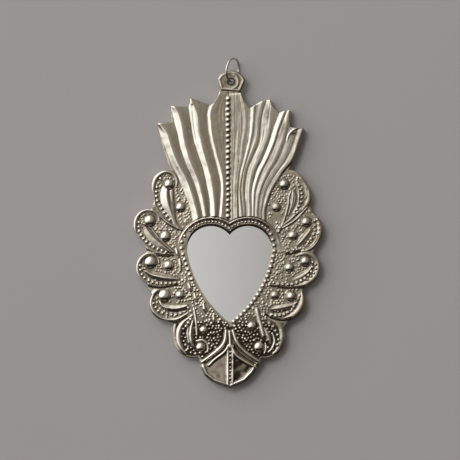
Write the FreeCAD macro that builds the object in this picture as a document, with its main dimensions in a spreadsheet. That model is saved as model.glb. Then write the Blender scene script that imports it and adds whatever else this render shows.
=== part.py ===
import FreeCAD, Part
import math
import os
import Sketcher
from FreeCAD import Placement, Rotation, Vector

# A flaming-heart wall mirror in pressed tin. All sizes are in millimetres.
# Seen from the front, +X is right, +Z is up and -Y comes towards the viewer.
# The plane Y = 0 is the wall, and the back plate lies on it.

# Driving sizes
SIZES = {
    "sheet_thickness": 0.4,
    "rim_depth": 6.0,
    "plate_clearance": 0.2,
    "heart_lobe_radius": 11.95,
    "heart_lobe_spacing": 18.5,
    "heart_lobe_z": -10.25,
    "heart_tip_z": -46.5,
    "heart_side_radius": 56.0,
    "lip_width": 0.6,
    "moulding_width": 4.6,
    "moulding_roll": 1.3,
    "moulding_height": 0.8,
    "pearl_radius": 1.05,
    "pearl_height": 0.9,
    "pearl_pitch": 2.5,
    "glass_thickness": 2.0,
    "glass_lap": 2.5,
    "card_thickness": 1.2,
    "card_inset": 0.5,
    "clip_thickness": 0.4,
    "clip_width": 6.0,
    "clip_foot": 3.0,
    "clip_reach": 3.5,
    "clip_clearance": 0.2,
    "clip_solder_leg": 0.8,
    "tack_radius": 1.6,
    "flame_relief": 1.5,
    "flame_margin": 0.8,
    "flame_gap": 0.3,
    "spine_bead_radius": 1.2,
    "spine_bead_height": 0.9,
    "spine_bead_pitch": 2.7,
    "relief_sink": 0.2,
    "scroll_rim_radius": 0.9,
    "scroll_rim_inset": 1.3,
    "boss_height": 2.0,
    "seed_height": 1.5,
    "leaf_height": 1.1,
    "tail_rib_radius": 1.0,
    "tail_spine_radius": 1.4,
    "lug_thickness": 0.8,
    "lug_hole_diameter": 2.8,
    "lug_hole_x": 0.75,
    "lug_hole_z": 74.0,
    "ring_wire": 1.15,
    "ring_bore": 10.5,
    "ring_split_angle": 1.5,
    "ring_twist": 31.0,
    "ring_lean": 10.0,
    "ring_tip": 4.0,
}

# Scrolls, each a tapered tongue between a round head and a round root, with
# a boss at the curl of its head, a seed nearer the glass and one long leaf.
SCROLL_KEYS = (
    "head_x", "head_z", "head_radius",
    "root_x", "root_z", "root_radius",
    "boss_x", "boss_z", "boss_radius",
    "seed_x", "seed_z", "seed_radius",
    "leaf_x", "leaf_z", "leaf_end_x", "leaf_end_z", "leaf_width",
)
SCROLLS = {
    "left_1": (-31.75, 22.5, 7.25, -25.75, 8.25, 10.0, -30.5, 22.5, 2.75,
               -24.5, 11.5, 2.5, -33.75, 20.75, -30.25, 6.75, 3.2),
    "left_2": (-40.5, 2.75, 7.5, -33.25, -8.25, 7.5, -40.0, 5.5, 3.3,
               -32.25, -3.5, 2.75, -43.25, 1.75, -31.75, -10.25, 3.0),
    "left_3": (-38.75, -19.0, 8.0, -29.75, -20.75, 8.0, -39.75, -16.5, 3.5,
               -30.75, -17.75, 2.75, -41.75, -21.0, -25.75, -24.75, 2.75),
    "left_4": (-31.75, -37.25, 8.25, -25.75, -39.0, 8.0, -33.0, -33.75, 3.3,
               -25.5, -33.5, 2.5, -33.75, -37.5, -19.75, -38.25, 2.5),
    "left_5": (-18.25, -54.75, 9.5, -16.25, -50.75, 12.0, -13.5, -58.5, 3.0,
               -11.75, -50.25, 2.5, -18.25, -46.25, -18.75, -57.75, 2.25),
    "right_1": (29.75, 21.75, 8.0, 32.0, 16.25, 9.0, 27.75, 22.25, 2.75,
                23.25, 11.25, 2.5, 31.75, 20.75, 27.75, 5.75, 3.0),
    "right_2": (37.5, -0.25, 9.25, 35.25, -4.25, 8.5, 38.5, 3.75, 3.1,
                31.75, -2.75, 2.75, 39.75, -0.75, 31.25, -8.75, 3.0),
    "right_3": (36.0, -19.0, 9.25, 32.25, -21.25, 8.5, 38.0, -16.25, 3.1,
                30.0, -19.25, 2.75, 40.75, -18.75, 29.75, -25.25, 3.0),
    "right_4": (28.75, -36.25, 9.0, 26.25, -37.75, 8.75, 30.75, -33.75, 3.0,
                22.75, -33.0, 2.5, 31.75, -37.75, 19.25, -39.75, 2.5),
    "right_5": (17.25, -54.25, 10.25, 16.25, -49.25, 10.5, 15.5, -58.5, 3.2,
                11.75, -48.25, 2.5, 18.25, -45.25, 20.25, -57.25, 2.25),
}

# Hand-cut outlines as (x, z), only the corners that the snips left
FLAME_LEFT = (
    (-17.25, 5.0), (-29.75, 30.5), (-33.25, 40.75), (-36.5, 53.0),
    (-29.0, 54.0), (-29.6, 61.85), (-20.6, 61.1), (-19.85, 65.75),
    (-9.75, 62.1),
)
FLAME_RIGHT = (
    (10.25, 60.75), (12.75, 62.5), (15.75, 64.25), (20.25, 65.25),
    (21.75, 61.75), (24.75, 58.5), (27.25, 59.5), (30.5, 59.9),
    (30.25, 51.25), (37.4, 50.4), (34.0, 39.75), (29.75, 29.25), (17.75, 5.0),
)
GROUND_OUTLINE = (
    (-29.0, 30.5), (-39.0, 11.25), (-41.75, -10.5), (-40.75, -29.5),
    (-27.5, -47.5), (-15.0, -65.0), (16.0, -64.5), (28.75, -47.0),
    (37.25, -29.5), (42.5, -10.25), (41.0, 10.25), (29.0, 29.25),
)
TAIL_OUTLINE = (
    (-13.0, -58.0), (-15.0, -65.0), (-14.25, -69.0), (-12.5, -73.0),
    (-8.5, -76.25), (0.4, -79.4), (8.0, -76.0), (11.75, -72.25),
    (15.5, -66.25), (16.5, -63.0), (13.0, -58.0),
)

# The middle tongue and the lug that stands on it, as (x, z) from the lug hole
TONGUE_TIP = (
    (-9.0, -10.75), (-7.25, -7.75), (-5.75, -4.5), (5.0, -5.5), (7.0, -9.75),
)
LUG_OUTLINE = (
    (-5.75, -7.0), (-5.35, -4.25), (-6.95, 1.25), (-5.35, 3.6), (-3.15, 5.0),
    (0.15, 5.6), (3.65, 4.9), (5.75, 3.25), (7.35, 0.75), (4.85, -5.0),
    (5.0, -7.0),
)

# Folds of the flames: share of the relief, then x at each of the levels. Left of the
# spine the folds are even, right of it they overlap like shingles, each with a step.
FLAME_LEVELS = (4.0, 20.0, 35.0, 50.0, 69.0)
SPINE_SHARE = 0.25
LEFT_FOLDS = (
    (0.2, (-17.25, -22.5, -29.0, -35.0, -41.0)),
    (0.9, (-15.5, -19.75, -27.0, -32.5, -39.5)),
    (0.15, (-13.0, -16.75, -22.75, -26.75, -31.5)),
    (0.95, (-11.5, -14.75, -20.25, -23.75, -30.0)),
    (0.15, (-9.5, -11.0, -15.0, -19.0, -20.5)),
    (0.95, (-7.0, -8.5, -12.0, -15.5, -19.25)),
    (0.15, (-5.5, -4.25, -7.25, -10.5, -9.0)),
    (0.75, (-4.5, -3.25, -6.25, -9.5, -5.5)),
)
SPINE_FOLD = (SPINE_SHARE, (-0.5, -0.5, -0.5, -0.5, -0.5))
RIGHT_FOLDS = (
    (0.5, (4.0, 4.0, 6.0, 8.0, 6.0)),
    (0.2, (4.5, 4.5, 6.5, 9.0, 8.0)),
    (0.65, (6.0, 5.25, 8.0, 11.5, 12.5)),
    (0.3, (8.0, 7.25, 10.75, 15.0, 19.0)),
    (0.65, (10.25, 10.25, 14.5, 19.75, 22.0)),
    (0.15, (11.0, 11.0, 16.25, 21.5, 28.0)),
    (0.95, (12.0, 12.5, 18.5, 24.25, 31.0)),
    (0.35, (12.5, 13.25, 19.25, 25.0, 32.0)),
    (0.7, (13.75, 15.5, 23.0, 28.0, 33.0)),
    (0.35, (14.25, 16.0, 24.0, 29.0, 34.0)),
    (0.25, (16.0, 18.25, 27.75, 33.5, 39.0)),
    (0.75, (17.5, 20.75, 31.25, 36.5, 42.0)),
    (0.3, (18.25, 21.75, 32.25, 38.0, 44.0)),
)

# Ribs of the tail leaf, each an arc through three points (x, z)
TAIL_RIBS = {
    "tail_rib_outer_left": ((-2.0, -51.25), (-5.4, -59.6), (-13.0, -65.5)),
    "tail_rib_outer_right": ((1.75, -50.75), (5.75, -59.25), (14.5, -65.5)),
    "tail_rib_inner_left": ((-0.75, -58.75), (-4.25, -62.75), (-11.25, -68.0)),
    "tail_rib_inner_right": ((1.75, -59.25), (5.5, -63.75), (11.75, -68.25)),
}
TAIL_SPINE = (0.3, -56.0, -76.5)

# Clip stations: share of the way down the lobe arc or the side arc
CLIP_STATIONS = (("lobe", 0.42), ("lobe", 0.9), ("side", 0.6))
# A span wider than the whole mirror, for half-spaces
REACH_ALL = 300.0

# Guide points of two tacks beside the flames; the rest look away from the middle
FLAME_TACKS = ((-33.25, 44.0), (33.25, 44.0))
FRAME_MIDDLE = (0.0, -15.0)

# Depths of the sheet's front face, of the middles of ridges and leaves sunk
# a little behind it, and of the sheet's rear face, where the glass seats
GROUND = "-Sizes.rim_depth"
SUNK = "-Sizes.rim_depth + Sizes.relief_sink"
SEAT = "-(Sizes.rim_depth - Sizes.sheet_thickness)"

doc = FreeCAD.newDocument("heart_mirror")
sheet = doc.addObject("Spreadsheet::Sheet", "Sizes")
node_names = []


def write_sheet():
    """Put every driving size in a cell of its own, with its name as alias."""
    cells = dict(SIZES)
    for name, row in SCROLLS.items():
        for key, value in zip(SCROLL_KEYS, row):
            cells[name + "_" + key] = value
    for number, (alias, value) in enumerate(cells.items(), start=1):
        sheet.set("A%d" % number, alias.replace("_", " "))
        sheet.set("B%d" % number, str(value))
        sheet.setAlias("B%d" % number, alias)
    doc.recompute()


def size(alias):
    return float(sheet.get(alias))


def bind(thing, **formulas):
    """Tie properties of an object to formulas over the sheet's cells."""
    for prop, formula in formulas.items():
        thing.setExpression(prop.replace("__", "."), formula)
    return thing


def place(x, y, z):
    """Formulas for a position; an empty one is left as it is."""
    terms = {"x": x, "y": y, "z": z}
    return {"Placement__Base__" + k: v for k, v in terms.items() if v}


def add(kind, name):
    thing = doc.addObject(kind, name)
    thing.Label = name
    return thing


def node(thing):
    """Mark an object as a sub-part that gets a file of its own."""
    node_names.append(thing.Name)
    return thing


# Plane geometry
def at(x, z, y=0.0):
    return Vector(x, y, z)


def polar(centre, radius, angle):
    return (centre[0] + radius * math.cos(angle),
            centre[1] + radius * math.sin(angle))


def arc_edge(start, middle, end):
    return Part.Arc(at(*start), at(*middle), at(*end)).toShape()


def polygon_face(points, inset):
    closed = [at(*p) for p in points] + [at(*points[0])]
    face = Part.Face(Part.makePolygon(closed))
    if inset > 0:
        face = face.makeOffset2D(-inset, 2)
    return face


def from_hole(points):
    """Points given from the lug hole, in the mirror's own place."""
    return tuple((x + size("lug_hole_x"), z + size("lug_hole_z")) for x, z in points)


def flame_corners():
    return FLAME_LEFT + from_hole(TONGUE_TIP) + FLAME_RIGHT


def disc_face(centre, radius):
    circle = Part.makeCircle(radius, at(*centre), Vector(0, -1, 0))
    return Part.Face(Part.Wire([circle]))


def tongue_angles(head, root):
    """Direction from head to root, and the spread of the tangent points."""
    run = math.dist(head[:2], root[:2])
    if run <= abs(head[2] - root[2]):
        return None
    heading = math.atan2(root[1] - head[1], root[0] - head[0])
    return heading, math.acos((head[2] - root[2]) / run)


def tongue_face(head, root, inset):
    """Two discs joined by their outer tangents."""
    angles = tongue_angles(head, root)
    head_r = head[2] - inset
    root_r = root[2] - inset
    if angles is None:
        biggest = max(head, root, key=lambda disc: disc[2])
        return disc_face(biggest[:2], biggest[2] - inset)
    heading, spread = angles
    upper = heading + spread
    lower = heading - spread
    far = heading + math.pi
    head_a, head_b = polar(head, head_r, upper), polar(head, head_r, lower)
    root_a, root_b = polar(root, root_r, upper), polar(root, root_r, lower)
    edges = [
        arc_edge(head_a, polar(head, head_r, far), head_b),
        Part.makeLine(at(*head_b), at(*root_b)),
        arc_edge(root_b, polar(root, root_r, heading), root_a),
        Part.makeLine(at(*root_a), at(*head_a)),
    ]
    return Part.Face(Part.Wire(edges))


def scroll_disc(name, end):
    keys = ("_%s_x", "_%s_z", "_%s_radius")
    return tuple(size(name + key % end) for key in keys)


def outline_face(inset):
    """The whole silhouette without the lug, drawn in by an inset."""
    faces = [
        tongue_face(scroll_disc(name, "head"), scroll_disc(name, "root"), inset)
        for name in SCROLLS
    ]
    for points in (flame_corners(), GROUND_OUTLINE, TAIL_OUTLINE):
        faces.append(polygon_face(points, inset))
    slabs = [face.extrude(Vector(0, -1, 0)) for face in faces]
    joined = slabs[0].multiFuse(slabs[1:]).removeSplitter()
    flat = [face for face in joined.Faces if abs(face.CenterOfMass.y) < 1e-6]
    biggest = max(flat, key=lambda face: face.Area)
    return Part.Face(biggest.OuterWire)


def side_centre():
    """Centre of the left side arc, tangent to the lobe, through the tip."""
    lobe = (-size("heart_lobe_spacing") / 2, size("heart_lobe_z"))
    tip = (0.0, size("heart_tip_z"))
    side = size("heart_side_radius")
    near = side - size("heart_lobe_radius")
    run = math.dist(lobe, tip)
    along = (near ** 2 - side ** 2 + run ** 2) / (2 * run)
    across = math.sqrt(max(0.0, near ** 2 - along ** 2))
    ux = (tip[0] - lobe[0]) / run
    uz = (tip[1] - lobe[1]) / run
    return (lobe[0] + along * ux - across * uz, lobe[1] + along * uz + across * ux)


def heart_arcs(offset):
    """Left half of the heart as (centre, radius, first angle, last angle)."""
    lobe = (-size("heart_lobe_spacing") / 2, size("heart_lobe_z"))
    side = side_centre()
    lobe_r = size("heart_lobe_radius") + offset
    side_r = size("heart_side_radius") + offset
    cusp = math.acos(min(1.0, -lobe[0] / lobe_r))
    join = math.atan2(lobe[1] - side[1], lobe[0] - side[0]) % (2 * math.pi)
    tip = math.pi + math.acos(min(1.0, side[0] / side_r))
    return ((lobe, lobe_r, cusp, join), (side, side_r, join, tip))


def heart_edges(offset):
    """Closed heart: the left arcs and their mirror images."""
    edges = []
    for centre, radius, first, last in heart_arcs(offset):
        stations = (first, (first + last) / 2, last)
        points = [polar(centre, radius, angle) for angle in stations]
        edges.append(points)
        edges.append([(-x, z) for x, z in points])
    return edges


def heart_wire(offset):
    edges = [arc_edge(*points) for points in heart_edges(offset)]
    return Part.Wire(Part.__sortEdges__(edges))


def heart_stations(offset, pitch):
    """Points at an even pitch round the heart, one of them on the cusp and one on the tip."""
    arcs = heart_arcs(offset)
    lengths = [radius * (last - first) for centre, radius, first, last in arcs]
    count = round(sum(lengths) / pitch)
    points = []
    for index in range(count + 1):
        run = sum(lengths) * index / count
        on_side = run > lengths[0]
        centre, radius, first, last = arcs[on_side]
        x, z = polar(centre, radius, first + (run - lengths[0] * on_side) / radius)
        points.append((x, z))
        if 0 < index < count:
            points.append((-x, z))
    return points


def plane_shape(name, shape):
    """A flat outline, worked out from the sheet, for others to use."""
    thing = add("Part::Feature", name)
    thing.Shape = shape
    return thing


def extrude(name, base, start, length):
    """Pull a flat outline towards the viewer, from one depth by a length."""
    thing = add("Part::Extrusion", name)
    thing.Base = base
    thing.DirMode = "Custom"
    thing.Dir = Vector(0, -1, 0)
    thing.Solid = True
    bind(thing, LengthFwd=length, **place("", start, ""))
    return thing


def sphere(name, x, z, half_width, height, raised="0"):
    """A round swelling: the cap of a ball sunk behind the face that it stands on."""
    thing = add("Part::Sphere", name)
    ball = "(({0}) ^ 2 + ({1}) ^ 2) / (2 * ({1}))".format(half_width, height)
    depth = "-Sizes.rim_depth + " + ball + " - " + height + " - " + raised
    return bind(thing, Radius=ball, **place(str(x), depth, str(z)))


def leaf(name, start, end, width, height):
    """A long swelling between two points."""
    thing = add("Part::Ellipsoid", name)
    heading = math.degrees(math.atan2(end[1] - start[1], end[0] - start[0]))
    turn = Rotation(Vector(1, 0, 0), 90) * Rotation(Vector(0, 0, 1), heading)
    middle = at((start[0] + end[0]) / 2, (start[1] + end[1]) / 2)
    thing.Placement = Placement(middle, turn)
    thing.Radius2 = math.dist(start, end) / 2
    return bind(thing, Radius1=height, Radius3=width + " / 2", Placement__Base__y=SUNK)


def ridge(name, centre, radius, first, last, tube, depth):
    """A round ridge bent along an arc of the front face."""
    thing = add("Part::Torus", name)
    thing.Radius1 = radius
    thing.Angle3 = math.degrees(last - first)
    turn = Rotation(Vector(1, 0, 0), 90) * Rotation(Vector(0, 0, 1), math.degrees(first))
    thing.Placement = Placement(at(*centre), turn)
    return bind(thing, Radius2=tube, Placement__Base__y=depth)


def circle_through(start, middle, end):
    curve = arc_edge(start, middle, end).Curve
    return (curve.Center.x, curve.Center.z), curve.Radius


def pattern_angles(centre, start, middle, end):
    """First and last angle of an arc, taken the way round past its middle."""
    turn = 2 * math.pi
    angles = [math.atan2(p[1] - centre[1], p[0] - centre[0]) for p in (start, middle, end)]
    if (angles[1] - angles[0]) % turn > (angles[2] - angles[0]) % turn:
        angles.reverse()
    first = angles[0]
    return first, first + (angles[2] - first) % turn


def join(kind, name, parts):
    thing = add(kind, name)
    thing.Shapes = parts
    return thing


write_sheet()

# Flat outlines
outline = plane_shape("front_outline", outline_face(0.0))
rim_inside = plane_shape("rim_inside_outline", outline_face(size("sheet_thickness")))
plate_inset = size("sheet_thickness") + size("plate_clearance")
plate_outline = plane_shape("plate_outline", outline_face(plate_inset))
lug_outline = plane_shape("lug_outline", polygon_face(from_hole(LUG_OUTLINE), 0.0))
opening = plane_shape("heart_outline", Part.Face(heart_wire(0.0)))

# Blank of the front, its hollow, the heart opening and the lug
blank = extrude("front_blank", outline, "0", "Sizes.rim_depth")
hollow = extrude("front_hollow", rim_inside, "0", "Sizes.rim_depth - Sizes.sheet_thickness")
window = extrude("heart_window", opening, "0", "3 * Sizes.rim_depth")
lug = extrude("lug_blank", lug_outline, GROUND + " + Sizes.lug_thickness", "Sizes.lug_thickness")
lug_hole = add("Part::Cylinder", "lug_hole")
lug_hole.Placement = Placement(Vector(), Rotation(Vector(1, 0, 0), 90))
bind(lug_hole, Radius="Sizes.lug_hole_diameter / 2", Height="2 * Sizes.rim_depth")
bind(lug_hole, **place("Sizes.lug_hole_x", "0", "Sizes.lug_hole_z"))

# Flames: folded blocks between neighbouring level sections, trimmed to the cut outline
# and, with a gap, to the outer edge of the moulding that they rise from
sections = []
for level, z in enumerate(FLAME_LEVELS):
    front = [(xs[level], share) for share, xs in (*LEFT_FOLDS, SPINE_FOLD, *RIGHT_FOLDS)]
    rear = -size("rim_depth") + size("sheet_thickness") / 2
    crest = [at(x, z, -size("rim_depth") - share * size("flame_relief")) for x, share in front]
    corners = crest + [at(front[-1][0], z, rear), at(front[0][0], z, rear), crest[0]]
    sections.append(plane_shape("flame_section_%d" % (level + 1), Part.makePolygon(corners)))
folds = []
for number, pair in enumerate(zip(sections, sections[1:]), start=1):
    fold = add("Part::Loft", "flame_fold_%d" % number)
    fold.Sections = list(pair)
    fold.Solid = True
    fold.Ruled = True
    folds.append(fold)
folded = join("Part::MultiFuse", "flame_folds", folds)
flame_area = plane_shape("flame_area", polygon_face(flame_corners(), size("flame_margin")))
flame_trim = extrude("flame_trim", flame_area, "0", "3 * Sizes.rim_depth")
moulding_edge = size("lip_width") + size("moulding_width") + size("flame_gap")
moulding_area = plane_shape("moulding_area", Part.Face(heart_wire(moulding_edge)))
flames = add("Part::Cut", "flames")
flames.Base = join("Part::MultiCommon", "flames_in_outline", [folded, flame_trim])
flames.Tool = extrude("moulding_room", moulding_area, "0", "3 * Sizes.rim_depth")

# Half-space in front of the middle of the sheet, which keeps the relief's caps
front_space = add("Part::Box", "front_space")
front_space.Length = front_space.Height = REACH_ALL
front_space.Placement = Placement(Vector(-REACH_ALL / 2, 0, -REACH_ALL / 2), Rotation())
bind(front_space, Width="Sizes.rim_depth")
bind(front_space, **place("", "-2 * Sizes.rim_depth + Sizes.sheet_thickness / 2", ""))


def caps(name, parts):
    """Join some swellings and keep what stands in front of the sheet."""
    whole = join("Part::MultiFuse", name + "_swellings", parts)
    return join("Part::MultiCommon", name + "_caps", [whole, front_space])


# Relief of the scrolls
relief = [flames]
rim_tube = "Sizes.scroll_rim_radius"
for name in SCROLLS:
    cell = "Sizes." + name + "_"
    head = scroll_disc(name, "head")
    root = scroll_disc(name, "root")
    angles = tongue_angles(head, root) or (0.0, math.pi / 2)
    first = angles[0] + angles[1]
    last = angles[0] - angles[1] + 2 * math.pi
    rim_r = head[2] - size("scroll_rim_inset")
    swellings = [ridge(name + "_rim", head[:2], rim_r, first, last, rim_tube, SUNK)]
    for part in ("boss", "seed"):
        spot = cell + part
        swellings.append(sphere(name + "_" + part, spot + "_x", spot + "_z",
                                spot + "_radius", "Sizes." + part + "_height"))
    start = (size(name + "_leaf_x"), size(name + "_leaf_z"))
    end = (size(name + "_leaf_end_x"), size(name + "_leaf_end_z"))
    width = cell + "leaf_width"
    swellings.append(leaf(name + "_leaf", start, end, width, "Sizes.leaf_height"))
    relief.append(caps(name, swellings))

# String of beads up the spine of the flames
pitch = size("spine_bead_pitch")
centre, radius, cusp, last = heart_arcs(moulding_edge)[0]
lowest = polar(centre, radius, cusp)[1] + size("spine_bead_radius")
highest = size("lug_hole_z") + TONGUE_TIP[0][1] + size("spine_bead_radius")
swellings = []
for number in range(int((highest - lowest) / pitch) + 1):
    swellings.append(sphere("spine_bead_%d" % (number + 1), SPINE_FOLD[1][0], lowest + number * pitch,
                            "Sizes.spine_bead_radius", "Sizes.spine_bead_height",
                            "%s * Sizes.flame_relief" % SPINE_SHARE))
relief.append(caps("spine", swellings))

# Moulding round the heart: a string of pearls next to the glass, and an outer roll of
# four ridges whose caps meet at the cusp and the tip
swellings = []
pearl_spots = heart_stations(size("lip_width") + size("pearl_radius"), size("pearl_pitch"))
for number, (x, z) in enumerate(pearl_spots, start=1):
    swellings.append(sphere("pearl_%d" % number, x, z, "Sizes.pearl_radius", "Sizes.pearl_height"))
relief.append(caps("pearls", swellings))
CAP = "((Sizes.moulding_roll / 2) ^ 2 + Sizes.moulding_height ^ 2) / (2 * Sizes.moulding_height)"
roll_depth = GROUND + " + " + CAP + " - Sizes.moulding_height"
roll_offset = size("lip_width") + size("moulding_width") - size("moulding_roll") / 2
swellings = []
for label, (centre, radius, first, last) in zip(("lobe", "side"), heart_arcs(roll_offset)):
    mirrored = ((-centre[0], centre[1]), radius, math.pi - last, math.pi - first)
    for hand, arc in (("left", (centre, radius, first, last)), ("right", mirrored)):
        swellings.append(ridge("moulding_%s_%s" % (label, hand), *arc, CAP, roll_depth))
relief.append(caps("moulding", swellings))

# Tail leaf: curved ribs and a straight spine
swellings = []
for name, points in TAIL_RIBS.items():
    centre, radius = circle_through(*points)
    first, last = pattern_angles(centre, *points)
    swellings.append(ridge(name, centre, radius, first, last, "Sizes.tail_rib_radius", SUNK))
spine = add("Part::Cylinder", "tail_spine")
spine.Placement = Placement(at(TAIL_SPINE[0], TAIL_SPINE[2]), Rotation())
spine.Height = TAIL_SPINE[1] - TAIL_SPINE[2]
bind(spine, Radius="Sizes.tail_spine_radius", Placement__Base__y=SUNK)
relief.append(caps("tail", swellings + [spine]))

pressed = join("Part::MultiFuse", "pressed_blank", [blank, lug] + relief)
removed = join("Part::MultiFuse", "front_cutouts", [hollow, window, lug_hole])
front_sheet = add("Part::Cut", "embossed_front")
front_sheet.Base = pressed
front_sheet.Tool = removed
node(front_sheet)

# Flat back plate inside the rim
node(extrude("back_plate", plate_outline, "0", "Sizes.sheet_thickness"))


# Bodies made from a sketch
def new_body(name, plane_role):
    body = add("PartDesign::Body", name)
    sketch = body.newObject("Sketcher::SketchObject", name + "_sketch")
    planes = [f for f in body.Origin.OriginFeatures if f.Role == plane_role]
    sketch.AttachmentSupport = (planes[0], [""])
    sketch.MapMode = "FlatFace"
    return body, sketch


def finish_pad(body, sketch, length):
    pad = body.newObject("PartDesign::Pad", body.Name + "_pad")
    pad.Profile = sketch
    bind(pad, Length=length)
    sketch.Visibility = False
    body.Tip = pad
    return node(body)


def heart_body(name, offset, depth, thickness):
    """A heart-shaped slab whose front face lies at a depth."""
    body, sketch = new_body(name, "XY_Plane")
    for start, middle, end in heart_edges(offset):
        points = [Vector(x, z, 0) for x, z in (start, middle, end)]
        sketch.addGeometry(Part.ArcOfCircle(*points), False)
    body.Placement = Placement(Vector(), Rotation(Vector(1, 0, 0), 90))
    bind(body, **place("", depth, ""))
    return finish_pad(body, sketch, thickness)


# Looking glass against the sheet's rear face, card behind it
glass_offset = size("glass_lap")
glass_rear = SEAT + " + Sizes.glass_thickness"
card_rear = glass_rear + " + Sizes.card_thickness"
heart_body("mirror_glass", glass_offset, glass_rear, "Sizes.glass_thickness")
heart_body("backing_card", glass_offset - size("card_inset"), card_rear, "Sizes.card_thickness")


def polygon_sketch(sketch, corners):
    """A closed polygon whose corners are formulas over the sheet's cells."""
    count = len(corners)
    values = [(cell_value(x), cell_value(y)) for x, y in corners]
    for index in range(count):
        start = Vector(*values[index], 0)
        end = Vector(*values[(index + 1) % count], 0)
        sketch.addGeometry(Part.LineSegment(start, end), False)
    for index in range(count):
        after = (index + 1) % count
        sketch.addConstraint(Sketcher.Constraint("Coincident", index, 2, after, 1))
    for index, corner in enumerate(corners):
        for kind, axis, formula, value in zip(
                ("DistanceX", "DistanceY"), (-2, -1), corner, values[index]):
            if formula == ():
                sketch.addConstraint(Sketcher.Constraint("PointOnObject", index, 1, axis))
                continue
            spot = sketch.addConstraint(Sketcher.Constraint(kind, -1, 1, index, 1, value))
            sketch.setExpression("Constraints[%d]" % spot, cell_formula(formula))


def cell_value(terms):
    """Sum of cells; a leading minus takes the cell away."""
    total = 0.0
    for term in terms:
        sign = -1.0 if term.startswith("-") else 1.0
        total += sign * size(term.lstrip("-"))
    return total


def cell_formula(terms):
    parts = []
    for term in terms:
        sign = " - " if term.startswith("-") else " + "
        parts.append(sign + "Sizes." + term.lstrip("-"))
    return "0" + "".join(parts)


def strip_body(name, corners, spot, normal):
    """A bent strip beside the glass: corners are (outwards, towards the wall)."""
    body, sketch = new_body(name, "XY_Plane")
    polygon_sketch(sketch, corners)
    half = size("clip_width") / 2
    turn = Rotation(Vector(0, 1, 0), -math.degrees(normal))
    shift = turn.multVec(Vector(0, 0, -half))
    body.Placement = Placement(at(*spot) + shift, turn)
    bind(body, **place("", SEAT, ""))
    return finish_pad(body, sketch, "Sizes.clip_width")


NONE = ()
PLAY = ("clip_clearance",)
RISER = ("clip_clearance", "clip_thickness")
FOOT = ("clip_clearance", "clip_thickness", "clip_foot")
METAL = ("clip_thickness",)
STACK = ("glass_thickness", "card_thickness")
TOP = ("glass_thickness", "card_thickness", "clip_thickness")
REACH = ("-clip_reach",)
CLIP_CORNERS = (
    (PLAY, NONE), (FOOT, NONE), (FOOT, METAL), (RISER, METAL),
    (RISER, TOP), (REACH, TOP), (REACH, STACK), (PLAY, STACK),
)
SOLDER_CORNERS = (
    (FOOT, NONE), (FOOT + ("clip_solder_leg",), NONE), (FOOT, METAL),
)

# Clips round the glass, alternately left and right, with solder at each foot
arcs = dict(zip(("lobe", "side"), heart_arcs(glass_offset)))
number = 0
for which, share in CLIP_STATIONS:
    centre, radius, first, last = arcs[which]
    angle = first + share * (last - first)
    spot = polar(centre, radius, angle)
    for hand in (1, -1):
        number += 1
        place_at = (hand * spot[0], spot[1])
        normal = angle if hand == 1 else math.pi - angle
        strip_body("mirror_clip_%d" % number, CLIP_CORNERS, place_at, normal)
        strip_body("clip_solder_%d" % number, SOLDER_CORNERS, place_at, normal)

# Solder tacks in the corner between the plate and the rim
space = extrude("space_in_rim", rim_inside, "-Sizes.sheet_thickness",
                "Sizes.rim_depth - 2 * Sizes.sheet_thickness")
guides = list(FLAME_TACKS)
for name in SCROLLS:
    head = scroll_disc(name, "head")
    outwards = math.atan2(head[1] - FRAME_MIDDLE[1], head[0] - FRAME_MIDDLE[0])
    guides.append(polar(head, head[2], outwards))
tack_spots = []
for guide in guides:
    gap, pairs, details = rim_inside.Shape.OuterWire.distToShape(Part.Vertex(at(*guide)))
    tack_spots.append((pairs[0][0].x, pairs[0][0].z))
for number, (x, z) in enumerate(tack_spots, start=1):
    drop = add("Part::Sphere", "tack_drop_%d" % number)
    drop.Placement = Placement(at(x, z), Rotation())
    bind(drop, Radius="Sizes.tack_radius", Placement__Base__y="-Sizes.sheet_thickness")
    node(join("Part::MultiCommon", "rim_tack_%d" % number, [drop, space]))

# Hanging ring: split wire through the lug, twisted and leaning as it lies
ring, sketch = new_body("hanging_ring", "XY_Plane")
ring_radius = (size("ring_bore") + size("ring_wire")) / 2
wire = Part.Circle(Vector(0, ring_radius, 0), Vector(0, 0, 1), size("ring_wire") / 2)
sketch.addGeometry(wire, False)
sketch.addConstraint(Sketcher.Constraint("PointOnObject", 0, 3, -2))
reach = sketch.addConstraint(Sketcher.Constraint("DistanceY", -1, 1, 0, 3, ring_radius))
gauge = sketch.addConstraint(Sketcher.Constraint("Diameter", 0, size("ring_wire")))
sketch.setExpression("Constraints[%d]" % reach, "(Sizes.ring_bore + Sizes.ring_wire) / 2")
sketch.setExpression("Constraints[%d]" % gauge, "Sizes.ring_wire")
turned = ring.newObject("PartDesign::Revolution", "hanging_ring_wire")
turned.Profile = sketch
turned.ReferenceAxis = (sketch, ["H_Axis"])
bind(turned, Angle="360 deg - Sizes.ring_split_angle * 1 deg")
sketch.Visibility = False
ring.Tip = turned
lean = Rotation(Vector(0, 1, 0), size("ring_lean"))
twist = Rotation(Vector(0, 0, 1), -size("ring_twist"))
tip = Rotation(Vector(1, 0, 0), size("ring_tip"))
pose = lean * twist * tip
lug_middle = -size("rim_depth") + size("lug_thickness") / 2
hole = at(size("lug_hole_x"), size("lug_hole_z"), lug_middle)
ring.Placement = Placement(hole + pose.multVec(Vector(0, 0, ring_radius)), pose)
node(ring)

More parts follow.
